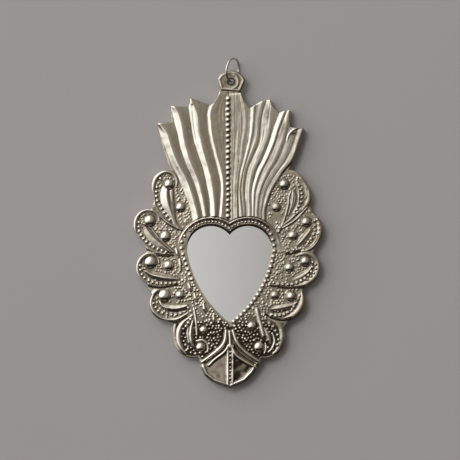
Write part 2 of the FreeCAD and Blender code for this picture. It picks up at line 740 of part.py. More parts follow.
# Work everything out, look for faults and write one file per sub-part
doc.recompute()
for thing in doc.Objects:
    faults = {"Invalid", "Error"} & set(thing.State)
    if faults:
        raise RuntimeError("%s is in state %s" % (thing.Name, thing.State))
os.makedirs("parts", exist_ok=True)
for name in node_names:
    shape = doc.getObject(name).Shape
    if shape.isNull() or not shape.isValid() or not shape.Solids:
        raise RuntimeError(name + " has no sound solid")
    shape.exportStep("parts/" + name + ".step")
    print("%-16s %9.2f mm3, %d faces" % (name, shape.Volume, len(shape.Faces)))
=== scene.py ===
# %% [markdown]
# # A flaming-heart wall mirror in pressed tin
# A small heart of looking glass sits in a front of thin tin. The tin was hammered from
# behind over a soft bed, so every rim, leaf and pearl is one and the same sheet.
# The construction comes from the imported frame. This script gives it its looks, and
# every shape is drawn in millimetres as (x, z), seen from the front.

# %% Load the frame
import math

import bpy
import numpy as np
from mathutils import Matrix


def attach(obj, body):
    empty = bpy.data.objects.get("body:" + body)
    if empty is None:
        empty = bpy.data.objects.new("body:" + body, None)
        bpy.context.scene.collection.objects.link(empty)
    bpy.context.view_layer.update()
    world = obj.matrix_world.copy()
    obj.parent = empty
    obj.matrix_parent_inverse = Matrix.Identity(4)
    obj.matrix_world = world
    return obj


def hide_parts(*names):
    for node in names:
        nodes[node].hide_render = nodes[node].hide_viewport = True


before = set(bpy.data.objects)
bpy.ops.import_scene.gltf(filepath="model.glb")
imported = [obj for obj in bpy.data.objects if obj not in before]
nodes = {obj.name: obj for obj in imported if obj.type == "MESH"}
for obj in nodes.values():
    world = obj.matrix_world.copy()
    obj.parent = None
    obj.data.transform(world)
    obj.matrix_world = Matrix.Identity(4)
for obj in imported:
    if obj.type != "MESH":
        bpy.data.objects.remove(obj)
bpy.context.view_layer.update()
MM = 0.001

# %% [markdown]
# ## The camera
# The mirror was photographed straight on from a good distance, so the camera stands on
# the middle line with a long lens, which keeps the depth of the relief from spreading
# the outline. An orthographic camera would do that too, but then the flat glass would
# mirror one single direction and show one single tone.

# %% Camera
PICTURE_WIDTH = 230.0
PICTURE_MIDDLE = (0.25, -0.25)
CAMERA_DISTANCE = 1200.0
CAMERA_SENSOR = 36.0
SHEET_DEPTH = 6.0

camera_data = bpy.data.cameras.new("front_camera")
camera_data.sensor_width = CAMERA_SENSOR
camera_data.lens = CAMERA_SENSOR * CAMERA_DISTANCE / PICTURE_WIDTH
camera = bpy.data.objects.new("front_camera", camera_data)
across, upward = PICTURE_MIDDLE
camera.location = (across * MM, -(CAMERA_DISTANCE + SHEET_DEPTH) * MM, upward * MM)
camera.rotation_euler = (math.radians(90), 0, 0)
bpy.context.scene.collection.objects.link(camera)
bpy.context.scene.camera = camera
print("lens %.1f mm" % camera_data.lens)

# %% [markdown]
# ## The outlines
# The frame's front already has the true silhouette, the heart opening and the lug. Its
# flat faces lie at known depths, so the edges that only one flat triangle uses are the
# outlines. They could be drawn again by hand, but two drawings never quite agree.
# Reading them keeps the dressed sheet on the same line as the solid one.

# %% Read outlines from flat faces
SEAT_DEPTH = 5.6
LUG_REAR_DEPTH = 5.2
FLAT_TOLERANCE = 0.002
WELD_DECIMALS = 3
front_node = nodes["embossed_front"]


def welded_triangles(node):
    """Points in millimetres and triangles over them, with doubled points joined."""
    mesh = node.data
    points = np.empty(len(mesh.vertices) * 3)
    mesh.vertices.foreach_get("co", points)
    rounded = np.round(points.reshape(-1, 3) / MM, WELD_DECIMALS)
    unique, index = np.unique(rounded, axis=0, return_inverse=True)
    mesh.calc_loop_triangles()
    corners = np.empty(len(mesh.loop_triangles) * 3, dtype=np.int64)
    mesh.loop_triangles.foreach_get("vertices", corners)
    triangles = index.reshape(-1)[corners].reshape(-1, 3)
    a, b, c = triangles.T
    return unique, triangles[(a != b) & (b != c) & (c != a)]


def outline_loops(points, triangles, depth):
    """Closed outlines of the flat faces at one depth as (x, z), largest first."""
    flat = np.all(np.abs(points[triangles, 1] + depth) < FLAT_TOLERANCE, axis=1)
    edges = [tuple(e) for t in triangles[flat] for e in ((t[0], t[1]), (t[1], t[2]), (t[2], t[0]))]
    known = set(edges)
    after = {a: b for a, b in edges if (b, a) not in known}
    loops = []
    while after:
        start, current = after.popitem()
        chain = [start]
        while current in after:
            chain.append(current)
            current = after.pop(current)
        if current == start:
            loops.append(points[chain][:, [0, 2]])
    return sorted(loops, key=lambda loop: -abs(loop_area(loop)))


def loop_area(loop):
    x, z = loop.T
    return 0.5 * np.sum(x * np.roll(z, -1) - z * np.roll(x, -1))


cad_points, cad_triangles = welded_triangles(front_node)
tray_loop = outline_loops(cad_points, cad_triangles, 0.0)[0]
heart_loop = outline_loops(cad_points, cad_triangles, SEAT_DEPTH)[1]
lug_loop, hole_loop = outline_loops(cad_points, cad_triangles, LUG_REAR_DEPTH)[:2]
for title, loop in (("tray", tray_loop), ("heart", heart_loop), ("lug", lug_loop), ("hole", hole_loop)):
    print("%s outline: %d points, %.0f mm2" % (title, len(loop), abs(loop_area(loop))))

# %% [markdown]
# ## A sheet as a height map
# Repousse work has no undercuts: seen from the front, each spot of the sheet has one
# height. So the sheet is a fine grid, and each tool mark is a shape that raises or
# lowers the grid near a point or along a line. Modelling hundreds of separate bumps
# would leave seams where hammered metal has none.

# %% Grid
GRID_STEP = 0.25
GRID_MARGIN = 1.0
FAR = 12.0

low_corner = np.minimum(tray_loop.min(0), lug_loop.min(0)) - GRID_MARGIN
high_corner = np.maximum(tray_loop.max(0), lug_loop.max(0)) + GRID_MARGIN
grid_x = np.arange(low_corner[0], high_corner[0], GRID_STEP)
grid_z = np.arange(low_corner[1], high_corner[1], GRID_STEP)
X, Z = np.meshgrid(grid_x, grid_z)
relief = np.zeros(X.shape)
room = np.full(X.shape, FAR)
# This array holds dirt, and painted shade as well.
dirt_and_shade = np.zeros(X.shape)
shine_and_painted_highlight = np.zeros(X.shape)
print("grid of %d x %d points, %.2f mm apart" % (*X.shape, GRID_STEP))

# %% [markdown]
# A chaser lays out the work by measuring from a line or from an edge. Here each mark asks
# how far every grid point lies from its line, and how far along. Blender can measure to
# the nearest face, but not on a plain grid of numbers, so it is worked out run by run. For
# a closed outline, counting the crossings along a row tells inside from outside.

# %% Distances
SHORTEST_RUN = 1e-12


def window(low, high, reach):
    """The part of the grid within a reach of a box."""
    first = np.floor((np.asarray(low) - reach - low_corner) / GRID_STEP).astype(int)
    last = np.ceil((np.asarray(high) + reach - low_corner) / GRID_STEP).astype(int) + 1
    first = np.maximum(first, 0)
    last = np.maximum(last, 0)
    return slice(first[1], last[1]), slice(first[0], last[0])


def line_field(points, reach):
    """Distance to a line up to a reach, the share of the way along it, and which side."""
    points = np.asarray(points, dtype=float)
    distance = np.full(X.shape, reach)
    along = np.zeros(X.shape)
    side = np.zeros(X.shape)
    steps = np.diff(points, axis=0)
    ends = np.concatenate([[0.0], np.cumsum(np.hypot(*steps.T))])
    ends /= ends[-1]
    for start, step, first, last in zip(points[:-1], steps, ends[:-1], ends[1:]):
        spot = window(np.minimum(start, start + step), np.maximum(start, start + step), reach)
        dx = X[spot] - start[0]
        dz = Z[spot] - start[1]
        share = np.clip((dx * step[0] + dz * step[1]) / max(step @ step, SHORTEST_RUN), 0.0, 1.0)
        gap = np.hypot(dx - share * step[0], dz - share * step[1])
        nearer = gap < distance[spot]
        distance[spot] = np.where(nearer, gap, distance[spot])
        along[spot] = np.where(nearer, first + share * (last - first), along[spot])
        side[spot] = np.where(nearer, np.sign(step[0] * dz - step[1] * dx), side[spot])
    return distance, along, side


def signed_distance(loop):
    """Distance to a closed outline, negative inside it."""
    closed = np.vstack([loop, loop[:1]])
    distance = line_field(closed, FAR)[0]
    crossings = np.zeros(X.shape)
    for (x1, z1), (x2, z2) in zip(closed[:-1], closed[1:]):
        rows = np.nonzero((grid_z >= min(z1, z2)) & (grid_z < max(z1, z2)))[0]
        if len(rows):
            x = x1 + (grid_z[rows] - z1) / (z2 - z1) * (x2 - x1)
            columns = np.searchsorted(grid_x, x)
            keep = columns < len(grid_x)
            np.add.at(crossings, (rows[keep], columns[keep]), 1)
    inside = np.cumsum(crossings, axis=1) % 2 == 1
    return np.where(inside, -distance, distance)


tray = signed_distance(tray_loop)
heart = signed_distance(heart_loop)
lug = signed_distance(lug_loop)
hole = signed_distance(hole_loop)
sheet = np.maximum(np.maximum(np.minimum(tray, lug), -heart), -hole)
print("%d grid points lie on the sheet" % np.sum(sheet <= 0))

# %% [markdown]
# ## Curves
# The maker drew each rim, stem and leaf with one sweep of the hand. A few chosen points
# with a smooth curve through them give that sweep, where a path of many points would keep
# every tremor of the tracing. Marks that come in rows are stepped off along the curve at
# an even pitch, as with dividers.

# %% Curves
CURVE_STEPS = 8


def smooth_line(points):
    """A curve through chosen points, with the slope at each from its neighbours."""
    points = np.asarray(points, dtype=float)
    padded = np.vstack([2 * points[0] - points[1], points, 2 * points[-1] - points[-2]])
    share = np.linspace(0.0, 1.0, CURVE_STEPS, endpoint=False)[:, None]
    pieces = []
    for p0, p1, p2, p3 in zip(padded, padded[1:], padded[2:], padded[3:]):
        bend = 2 * p0 - 5 * p1 + 4 * p2 - p3
        twist = 3 * p1 - p0 - 3 * p2 + p3
        pieces.append(0.5 * (2 * p1 + (p2 - p0) * share + bend * share ** 2 + twist * share ** 3))
    return np.vstack([*pieces, points[-1:]])


def even_spots(line, pitch):
    """Points along a line at an even pitch."""
    ends = np.concatenate([[0.0], np.cumsum(np.hypot(*np.diff(line, axis=0).T))])
    count = max(2, int(round(ends[-1] / pitch)) + 1)
    stations = np.linspace(0.0, ends[-1], count)
    return np.column_stack([np.interp(stations, ends, line[:, k]) for k in (0, 1)])


print("curves take", CURVE_STEPS, "steps between two chosen points")

# %% [markdown]
# ## Liners
# A liner is a blunt chisel. From behind it raises a ridge, from the front it presses a
# crease. A parabola gives a ridge a crisp foot, as a chased line has. A leaf is a ridge
# with a sharp spine off its middle, and flutes may run along it. A bevel on a curve object
# would make the same ridges, but not one sheet that runs from each into the next. Every
# mark also notes the free room round it, the dirt at its foot and where it is rubbed. On a
# leaf, that rubbed face is a painted highlight.

# %% Ridges, leaves and grooves
MARK_REACH = 2.0
LINE_HALF = 0.5
RIDGE_END = 0.15
LEAF_END = 0.3
LEAF_FULLNESS = 0.7
LEAF_LINE = 0.65
FLUTE_DEPTH = 0.35
FLUTE_DIRT = 0.6
FLUTE_REACH = 0.95


def swelling(points, half_width, line=0.0):
    """Place across a curve in half widths, fullness of the width, side, and share of the way."""
    widths = np.atleast_1d(np.asarray(half_width, dtype=float))
    distance, along, side = line_field(smooth_line(points), widths.max() + MARK_REACH)
    width = np.interp(along, np.linspace(0.0, 1.0, len(widths)), widths)
    np.minimum(room, distance - width, out=room)
    foot = np.clip(1.0 - np.abs(distance - width) / LINE_HALF, 0.0, 1.0)
    np.maximum(dirt_and_shade, line * foot, out=dirt_and_shade)
    return np.clip(distance / width, 0.0, 1.0), width / widths.max(), side, along


def raise_ridge(points, half_width, height, line=0.0, gloss=0.0):
    """A ridge along a curve; a list of half widths makes it swell and taper."""
    across, fullness = swelling(points, half_width, line)[:2]
    crown = height * (RIDGE_END + (1.0 - RIDGE_END) * fullness) * (1.0 - across ** 2)
    np.maximum(relief, np.where(across < 1.0, crown, relief), out=relief)
    np.maximum(shine_and_painted_highlight, np.where(across < 1.0, gloss, 0.0), out=shine_and_painted_highlight)


def raise_leaf(points, half_width, height, lean=0.0, flutes=0, climb=0.0, gloss=0.0):
    """A leaf with a spine that leans to the left of its run and climbs along it.

    Flutes run along the leaf, and the gloss is a painted highlight on its right-hand face.
    """
    across, fullness, side, along = swelling(points, half_width, LEAF_LINE)
    place = across * side
    rise = np.minimum((1.0 + place) / (1.0 + lean), (1.0 - place) / (1.0 - lean))
    top = height * (LEAF_END + (1.0 - LEAF_END) * fullness) + climb * (along - 0.5)
    crown = top * np.clip(rise, 0.0, 1.0) ** LEAF_FULLNESS
    hollow = 0.5 - 0.5 * np.cos(math.pi * flutes * (place + 1.0))
    crown *= 1.0 - FLUTE_DEPTH * hollow
    np.maximum(dirt_and_shade, np.where(across < FLUTE_REACH, FLUTE_DIRT * hollow ** 4, 0.0), out=dirt_and_shade)
    np.maximum(relief, np.where(across < 1.0, crown, relief), out=relief)
    # Painted highlight: lighter, cleaner metal on one face of the leaf.
    np.maximum(shine_and_painted_highlight, np.where((across < 1.0) & (place < lean), gloss, 0.0), out=shine_and_painted_highlight)


def press_groove(points, half_width, depth, darkness=0.0):
    """A chased crease along a curve, with old dirt in it."""
    distance = line_field(smooth_line(points), half_width)[0]
    mark = (1.0 - (distance / half_width) ** 2) ** 2
    relief[:] -= depth * mark
    np.maximum(dirt_and_shade, darkness * mark, out=dirt_and_shade)


print("liners ready")

# %% [markdown]
# ## Round punches
# Bosses, seeds, pearls and dots come from round punches of several sizes. A struck dome
# falls off as a bowl does, and the sheet draws down round its foot, so a dome may have a
# moat. A row of beads strays a little in place, size and height, because no two blows are
# the same. The random numbers start from a fixed seed, so every run strikes alike.

# %% Domes and rows of beads
HAND = np.random.default_rng(7)
DOME_FULLNESS = 0.62
DOME_GLOSS = 0.37
MOAT_WIDTH = 0.35
BEAD_FULLNESS = 0.85
BEAD_GLOSS = 0.24
BEAD_STRAY = 0.06
BEAD_SIZES = (0.92, 1.08)
BEAD_RISES = (0.9, 1.05)


def punch_dome(x, z, radius, height, moat=0.0, fullness=DOME_FULLNESS, gloss=0.0):
    """A round swelling, with a crease round its foot."""
    spot = window((x, z), (x, z), radius + MARK_REACH)
    distance = np.hypot(X[spot] - x, Z[spot] - z)
    if moat:
        ring = np.clip(1.0 - np.abs(distance - radius) / (MOAT_WIDTH * radius), 0.0, 1.0)
        relief[spot] -= moat * ring ** 2
    crown = height * np.clip(1.0 - (distance / radius) ** 2, 0.0, 1.0) ** fullness
    relief[spot] = np.where(distance < radius, np.maximum(relief[spot], crown), relief[spot])
    shine_and_painted_highlight[spot] = np.where(distance < radius, np.maximum(shine_and_painted_highlight[spot], gloss), shine_and_painted_highlight[spot])
    np.minimum(room[spot], distance - radius, out=room[spot])


def punch_row(points, pitch, radius, height, base=0.0):
    """A row of beads along a curve, a little uneven as struck by hand."""
    for spot in even_spots(smooth_line(points), pitch):
        x, z = spot + HAND.normal(0.0, BEAD_STRAY, 2)
        size = radius * HAND.uniform(*BEAD_SIZES)
        tall = base + height * HAND.uniform(*BEAD_RISES)
        punch_dome(x, z, size, tall, fullness=BEAD_FULLNESS, gloss=BEAD_GLOSS)


print("punches ready")

# %% [markdown]
# ## Softening
# Tin bends over a soft bed, so no fold is quite sharp and no plain is quite flat. A blur
# gives both: it rounds a fold, and run over random numbers it leaves the slow waves of a
# hammered sheet. Three running means come close to a true blur and are quick.

# %% Blur and hammer waves
BLUR_PASSES = 3


def soften(field, radius):
    """A smooth blur of about a radius, by running means each way."""
    reach = max(1, int(round(radius / GRID_STEP)))
    for _ in range(BLUR_PASSES):
        for axis in (0, 1):
            pad = [(0, 0), (0, 0)]
            pad[axis] = (reach + 1, reach)
            total = np.cumsum(np.pad(field, pad, mode="edge"), axis=axis)
            high = np.take(total, np.arange(2 * reach + 1, total.shape[axis]), axis=axis)
            low = np.take(total, np.arange(0, total.shape[axis] - 2 * reach - 1), axis=axis)
            field = (high - low) / (2 * reach + 1)
    return field


def hammer_noise(scale):
    """Soft unevenness of a sheet worked by hand, about 1 high."""
    noise = soften(HAND.normal(0.0, 1.0, X.shape), scale)
    return noise / noise.std()


print("blur ready")

# %% [markdown]
# ## The flames
# Long tongues of flame rise from the heart. Left of the spine each is folded: a narrow
# side faces the left and catches the light, a broad side falls away. Right of the spine
# they overlap like shingles, rise slowly to the right and end in a small step. They could
# be bent from strips, but the real flames are one sheet. So each fold line has one height,
# and a smooth curve through its x at a few levels.

# %% Fold lines
LEFT_LEVELS = (6.5, 14.5, 20.0, 25.5, 31.0, 36.5, 42.25, 47.75, 53.0, 58.75, 64.75, 69.0)
LEFT_FOLDS = (
    (0.20, (-17.9, -20.3, -22.5, -24.8, -27.3, -29.8, -32.0, -34.0, -36.2, -38.2, -40.0, -41.0)),
    (1.35, (-16.0, -18.0, -19.7, -21.9, -25.2, -27.6, -29.6, -31.3, -35.4, -37.5, -39.2, -40.0)),
    (0.25, (-13.4, -15.1, -16.6, -18.6, -21.1, -23.3, -25.0, -26.2, -27.6, -29.0, -31.0, -32.0)),
    (1.40, (-12.0, -13.4, -14.7, -16.3, -18.6, -20.8, -22.3, -23.3, -24.2, -26.2, -30.6, -31.5)),
    (0.25, (-9.7, -10.1, -11.1, -12.2, -13.6, -15.5, -17.4, -18.7, -19.5, -20.3, -20.4, -20.5)),
    (1.45, (-7.4, -7.9, -8.6, -9.4, -10.8, -12.4, -13.9, -15.2, -15.9, -16.8, -19.6, -20.0)),
    (0.25, (-5.3, -4.6, -4.3, -4.9, -6.2, -7.6, -9.0, -10.1, -10.7, -11.0, -8.6, -5.6)),
    (1.10, (-4.4, -3.7, -3.3, -3.6, -4.9, -6.6, -8.0, -9.2, -9.7, -9.9, -7.5, -4.6)),
)
RIGHT_LEVELS = (7.0, 10.75, 19.75, 28.75, 34.75, 43.75, 49.75, 57.75, 66.0)
RIGHT_FOLDS = (
    (0.70, (1.3, 1.2, 1.2, 1.4, 1.6, 1.8, 1.9, 1.9, 1.6)),
    (0.62, (1.7, 1.6, 1.6, 1.9, 2.2, 2.6, 2.7, 2.7, 2.2)),
    (0.95, (2.7, 2.6, 2.6, 3.2, 3.7, 4.2, 4.7, 4.7, 3.9)),
    (0.85, (3.2, 3.1, 3.1, 3.8, 4.5, 5.2, 6.0, 6.0, 4.9)),
    (1.15, (4.0, 3.9, 3.9, 4.8, 5.9, 6.9, 7.9, 7.8, 6.2)),
    (0.55, (4.5, 4.4, 4.3, 5.3, 6.9, 9.1, 9.9, 10.3, 10.2)),
    (1.10, (6.0, 5.9, 5.1, 6.4, 7.9, 10.2, 11.2, 11.9, 12.3)),
    (0.75, (6.4, 6.3, 5.5, 6.8, 8.4, 10.7, 12.0, 12.7, 13.2)),
    (0.95, (7.3, 7.3, 6.8, 7.8, 9.9, 13.3, 14.3, 15.3, 17.0)),
    (0.62, (8.0, 8.0, 7.3, 8.6, 10.7, 14.4, 15.1, 16.2, 18.8)),
    (1.05, (10.5, 10.6, 10.4, 12.1, 14.7, 18.4, 19.9, 20.8, 21.5)),
    (0.48, (11.0, 11.0, 11.1, 13.3, 16.2, 19.8, 21.5, 24.6, 28.0)),
    (1.25, (11.9, 12.0, 12.5, 15.4, 18.5, 22.4, 24.1, 27.0, 30.0)),
    (0.75, (12.4, 12.4, 13.0, 15.9, 19.0, 22.9, 24.7, 28.0, 31.0)),
    (1.05, (13.8, 13.9, 15.4, 19.4, 23.0, 26.4, 28.0, 29.5, 32.0)),
    (0.70, (14.3, 14.4, 16.0, 20.0, 23.8, 27.2, 28.9, 30.5, 33.0)),
    (0.80, (15.8, 16.0, 17.9, 23.1, 27.3, 31.1, 33.0, 35.0, 37.0)),
    (0.55, (16.2, 16.4, 18.4, 23.6, 27.8, 31.7, 33.6, 36.0, 38.0)),
    (0.85, (17.5, 17.8, 20.9, 26.4, 31.2, 34.5, 36.6, 39.0, 41.0)),
)
print("folds: %d left and %d right of the spine" % (len(LEFT_FOLDS), len(RIGHT_FOLDS)))

# %% [markdown]
# Every row of the grid is a cut across the flames. The fold lines' places on that row and
# their heights make a zigzag, which fills the row by straight runs. Higher up, the right
# half of the middle tongue is nearly plain, so its heights go over to calmer ones there.
# A line lower than both its neighbours is a seam, where dirt lies.

# %% Fold the flames
SPINE_X = -0.5
SPINE_HEIGHT = 0.35
TONGUE_CALM = (0.42, 0.46, 0.5, 0.55, 0.7)
TONGUE_CALM_FROM = ((20.0, 36.0), (0.0, 0.85))
FLAME_FOOT = 0.8
FLAME_START = 4.9
FLAMES_BELOW = 4.0
SEAM_HALF = 0.45


def fold_curve(levels, places):
    """Where a fold line crosses every row of the grid."""
    curve = smooth_line(np.column_stack([places, levels]))
    return np.interp(grid_z, curve[:, 1], curve[:, 0])


def fold_rows():
    """Height of the folded flames, where they are, their seams, and the place across them."""
    left = [fold_curve(LEFT_LEVELS, places) for _, places in LEFT_FOLDS]
    right = [fold_curve(RIGHT_LEVELS, places) for _, places in RIGHT_FOLDS]
    spine = np.full(grid_z.shape, SPINE_X)
    lines = np.array([left[0] - FLAME_FOOT, *left, spine, *right, right[-1] + FLAME_FOOT])
    lines = np.maximum.accumulate(lines, axis=0)
    rises = [rise for rise, _ in LEFT_FOLDS] + [SPINE_HEIGHT] + [rise for rise, _ in RIGHT_FOLDS]
    heights = np.array([0.0, *rises, 0.0])
    calm = heights.copy()
    tongue = len(LEFT_FOLDS) + 2
    calm[tongue:tongue + len(TONGUE_CALM)] = TONGUE_CALM
    shares = np.interp(grid_z, *TONGUE_CALM_FROM)
    field = np.array([np.interp(grid_x, row, (1.0 - share) * heights + share * calm)
                      for row, share in zip(lines.T, shares)])
    inside = (X > lines[0][:, None]) & (X < lines[-1][:, None])
    neighbours = np.minimum(heights[:-2], heights[2:])
    valleys = lines[1:-1][heights[1:-1] < neighbours]
    nearest = np.min([np.abs(X - valley[:, None]) for valley in valleys], axis=0)
    seam = np.clip(1.0 - nearest / SEAM_HALF, 0.0, 1.0)
    across = np.array([np.interp(grid_x, row, lines.mean(axis=1)) for row in lines.T])
    return field, inside, seam, across


folds, flame_mask, seam, across_folds = fold_rows()
flame_mask &= (heart > FLAME_START) & (Z > LEFT_LEVELS[0] - FLAMES_BELOW) & (tray < 0.0)
print("flames cover %.0f mm2" % (flame_mask.sum() * GRID_STEP ** 2))

# %% [markdown]
# The burnisher was drawn along the folds and left fine streaks. They are random heights
# on a coarse net that bends with the folds, so they run with the metal and not straight
# up. Brown has settled in the seams. The snipped edge is darkened as painted shade, and so
# are three patches on the right-hand tongues. The outermost tip on the right curls over
# into a ridge.

# %% Streaks, tip and painted shade
STREAK_SEED = 11
STREAK_PITCH = 0.4
STREAK_LENGTH = 8.0
STREAK_DEPTH = 0.028
FOLD_SOFTNESS = 0.25
SEAM_DIRT = 0.65
CUT_EDGE = 0.6
CUT_EDGE_SHADE = 0.6
STRIP_HOLLOW = ((-18.6, 62.0), (-17.9, 55.0), (-17.0, 48.0), (-15.0, 40.0))
STRIP_HOLLOW_HALF = 0.8
STRIP_HOLLOW_DEPTH = 0.15
CURLED_TIP = ((28.75, 44.0), (29.5, 47.0), (31.5, 49.4), (34.0, 50.6), (36.5, 50.5))
CURLED_TIP_HALF = (0.5, 0.7, 0.8, 0.7, 0.4)
CURLED_TIP_HEIGHT = 1.35
SHADE_PATCHES = ((18.75, 58.5, 2.2, 6.0, 0.5), (27.0, 51.0, 1.6, 4.5, 0.5), (32.0, 47.9, 2.4, 1.0, 0.7))


def drawn_streaks(across):
    """Fine lines that run with the folds, as the burnisher drew them."""
    levels = np.arange(grid_z[0], grid_z[-1] + 2 * STREAK_LENGTH, STREAK_LENGTH)
    stations = np.arange(across.min(), across.max() + STREAK_PITCH, STREAK_PITCH)
    marks = np.random.default_rng(STREAK_SEED).normal(size=(len(levels), len(stations)))
    rows = []
    for z, row in zip(grid_z, across):
        level, share = divmod((z - levels[0]) / STREAK_LENGTH, 1.0)
        profile = (1.0 - share) * marks[int(level)] + share * marks[int(level) + 1]
        rows.append(np.interp(row, stations, profile))
    return np.array(rows)


pressed = soften(folds, FOLD_SOFTNESS) + STREAK_DEPTH * drawn_streaks(across_folds)
relief[flame_mask] = pressed[flame_mask]
# Painted shade: the snipped outline of the flames is darkened.
cut_edge = np.clip(1.0 + tray / CUT_EDGE, 0.0, 1.0)
flame_dirt_and_shade = np.maximum(SEAM_DIRT * seam, CUT_EDGE_SHADE * cut_edge)
dirt_and_shade[flame_mask] = np.maximum(dirt_and_shade, flame_dirt_and_shade)[flame_mask]
press_groove(STRIP_HOLLOW, STRIP_HOLLOW_HALF, STRIP_HOLLOW_DEPTH)
raise_ridge(CURLED_TIP, CURLED_TIP_HALF, CURLED_TIP_HEIGHT)
# Painted shade: three dark patches near the tips of the right-hand tongues.
for x, z, half_x, half_z, darkness in SHADE_PATCHES:
    reach = ((X - x) / half_x) ** 2 + ((Z - z) / half_z) ** 2
    np.maximum(dirt_and_shade, darkness * np.exp(-reach), out=dirt_and_shade)
room[flame_mask] = 0.0
print("flames rise to %.2f mm" % relief[flame_mask].max())
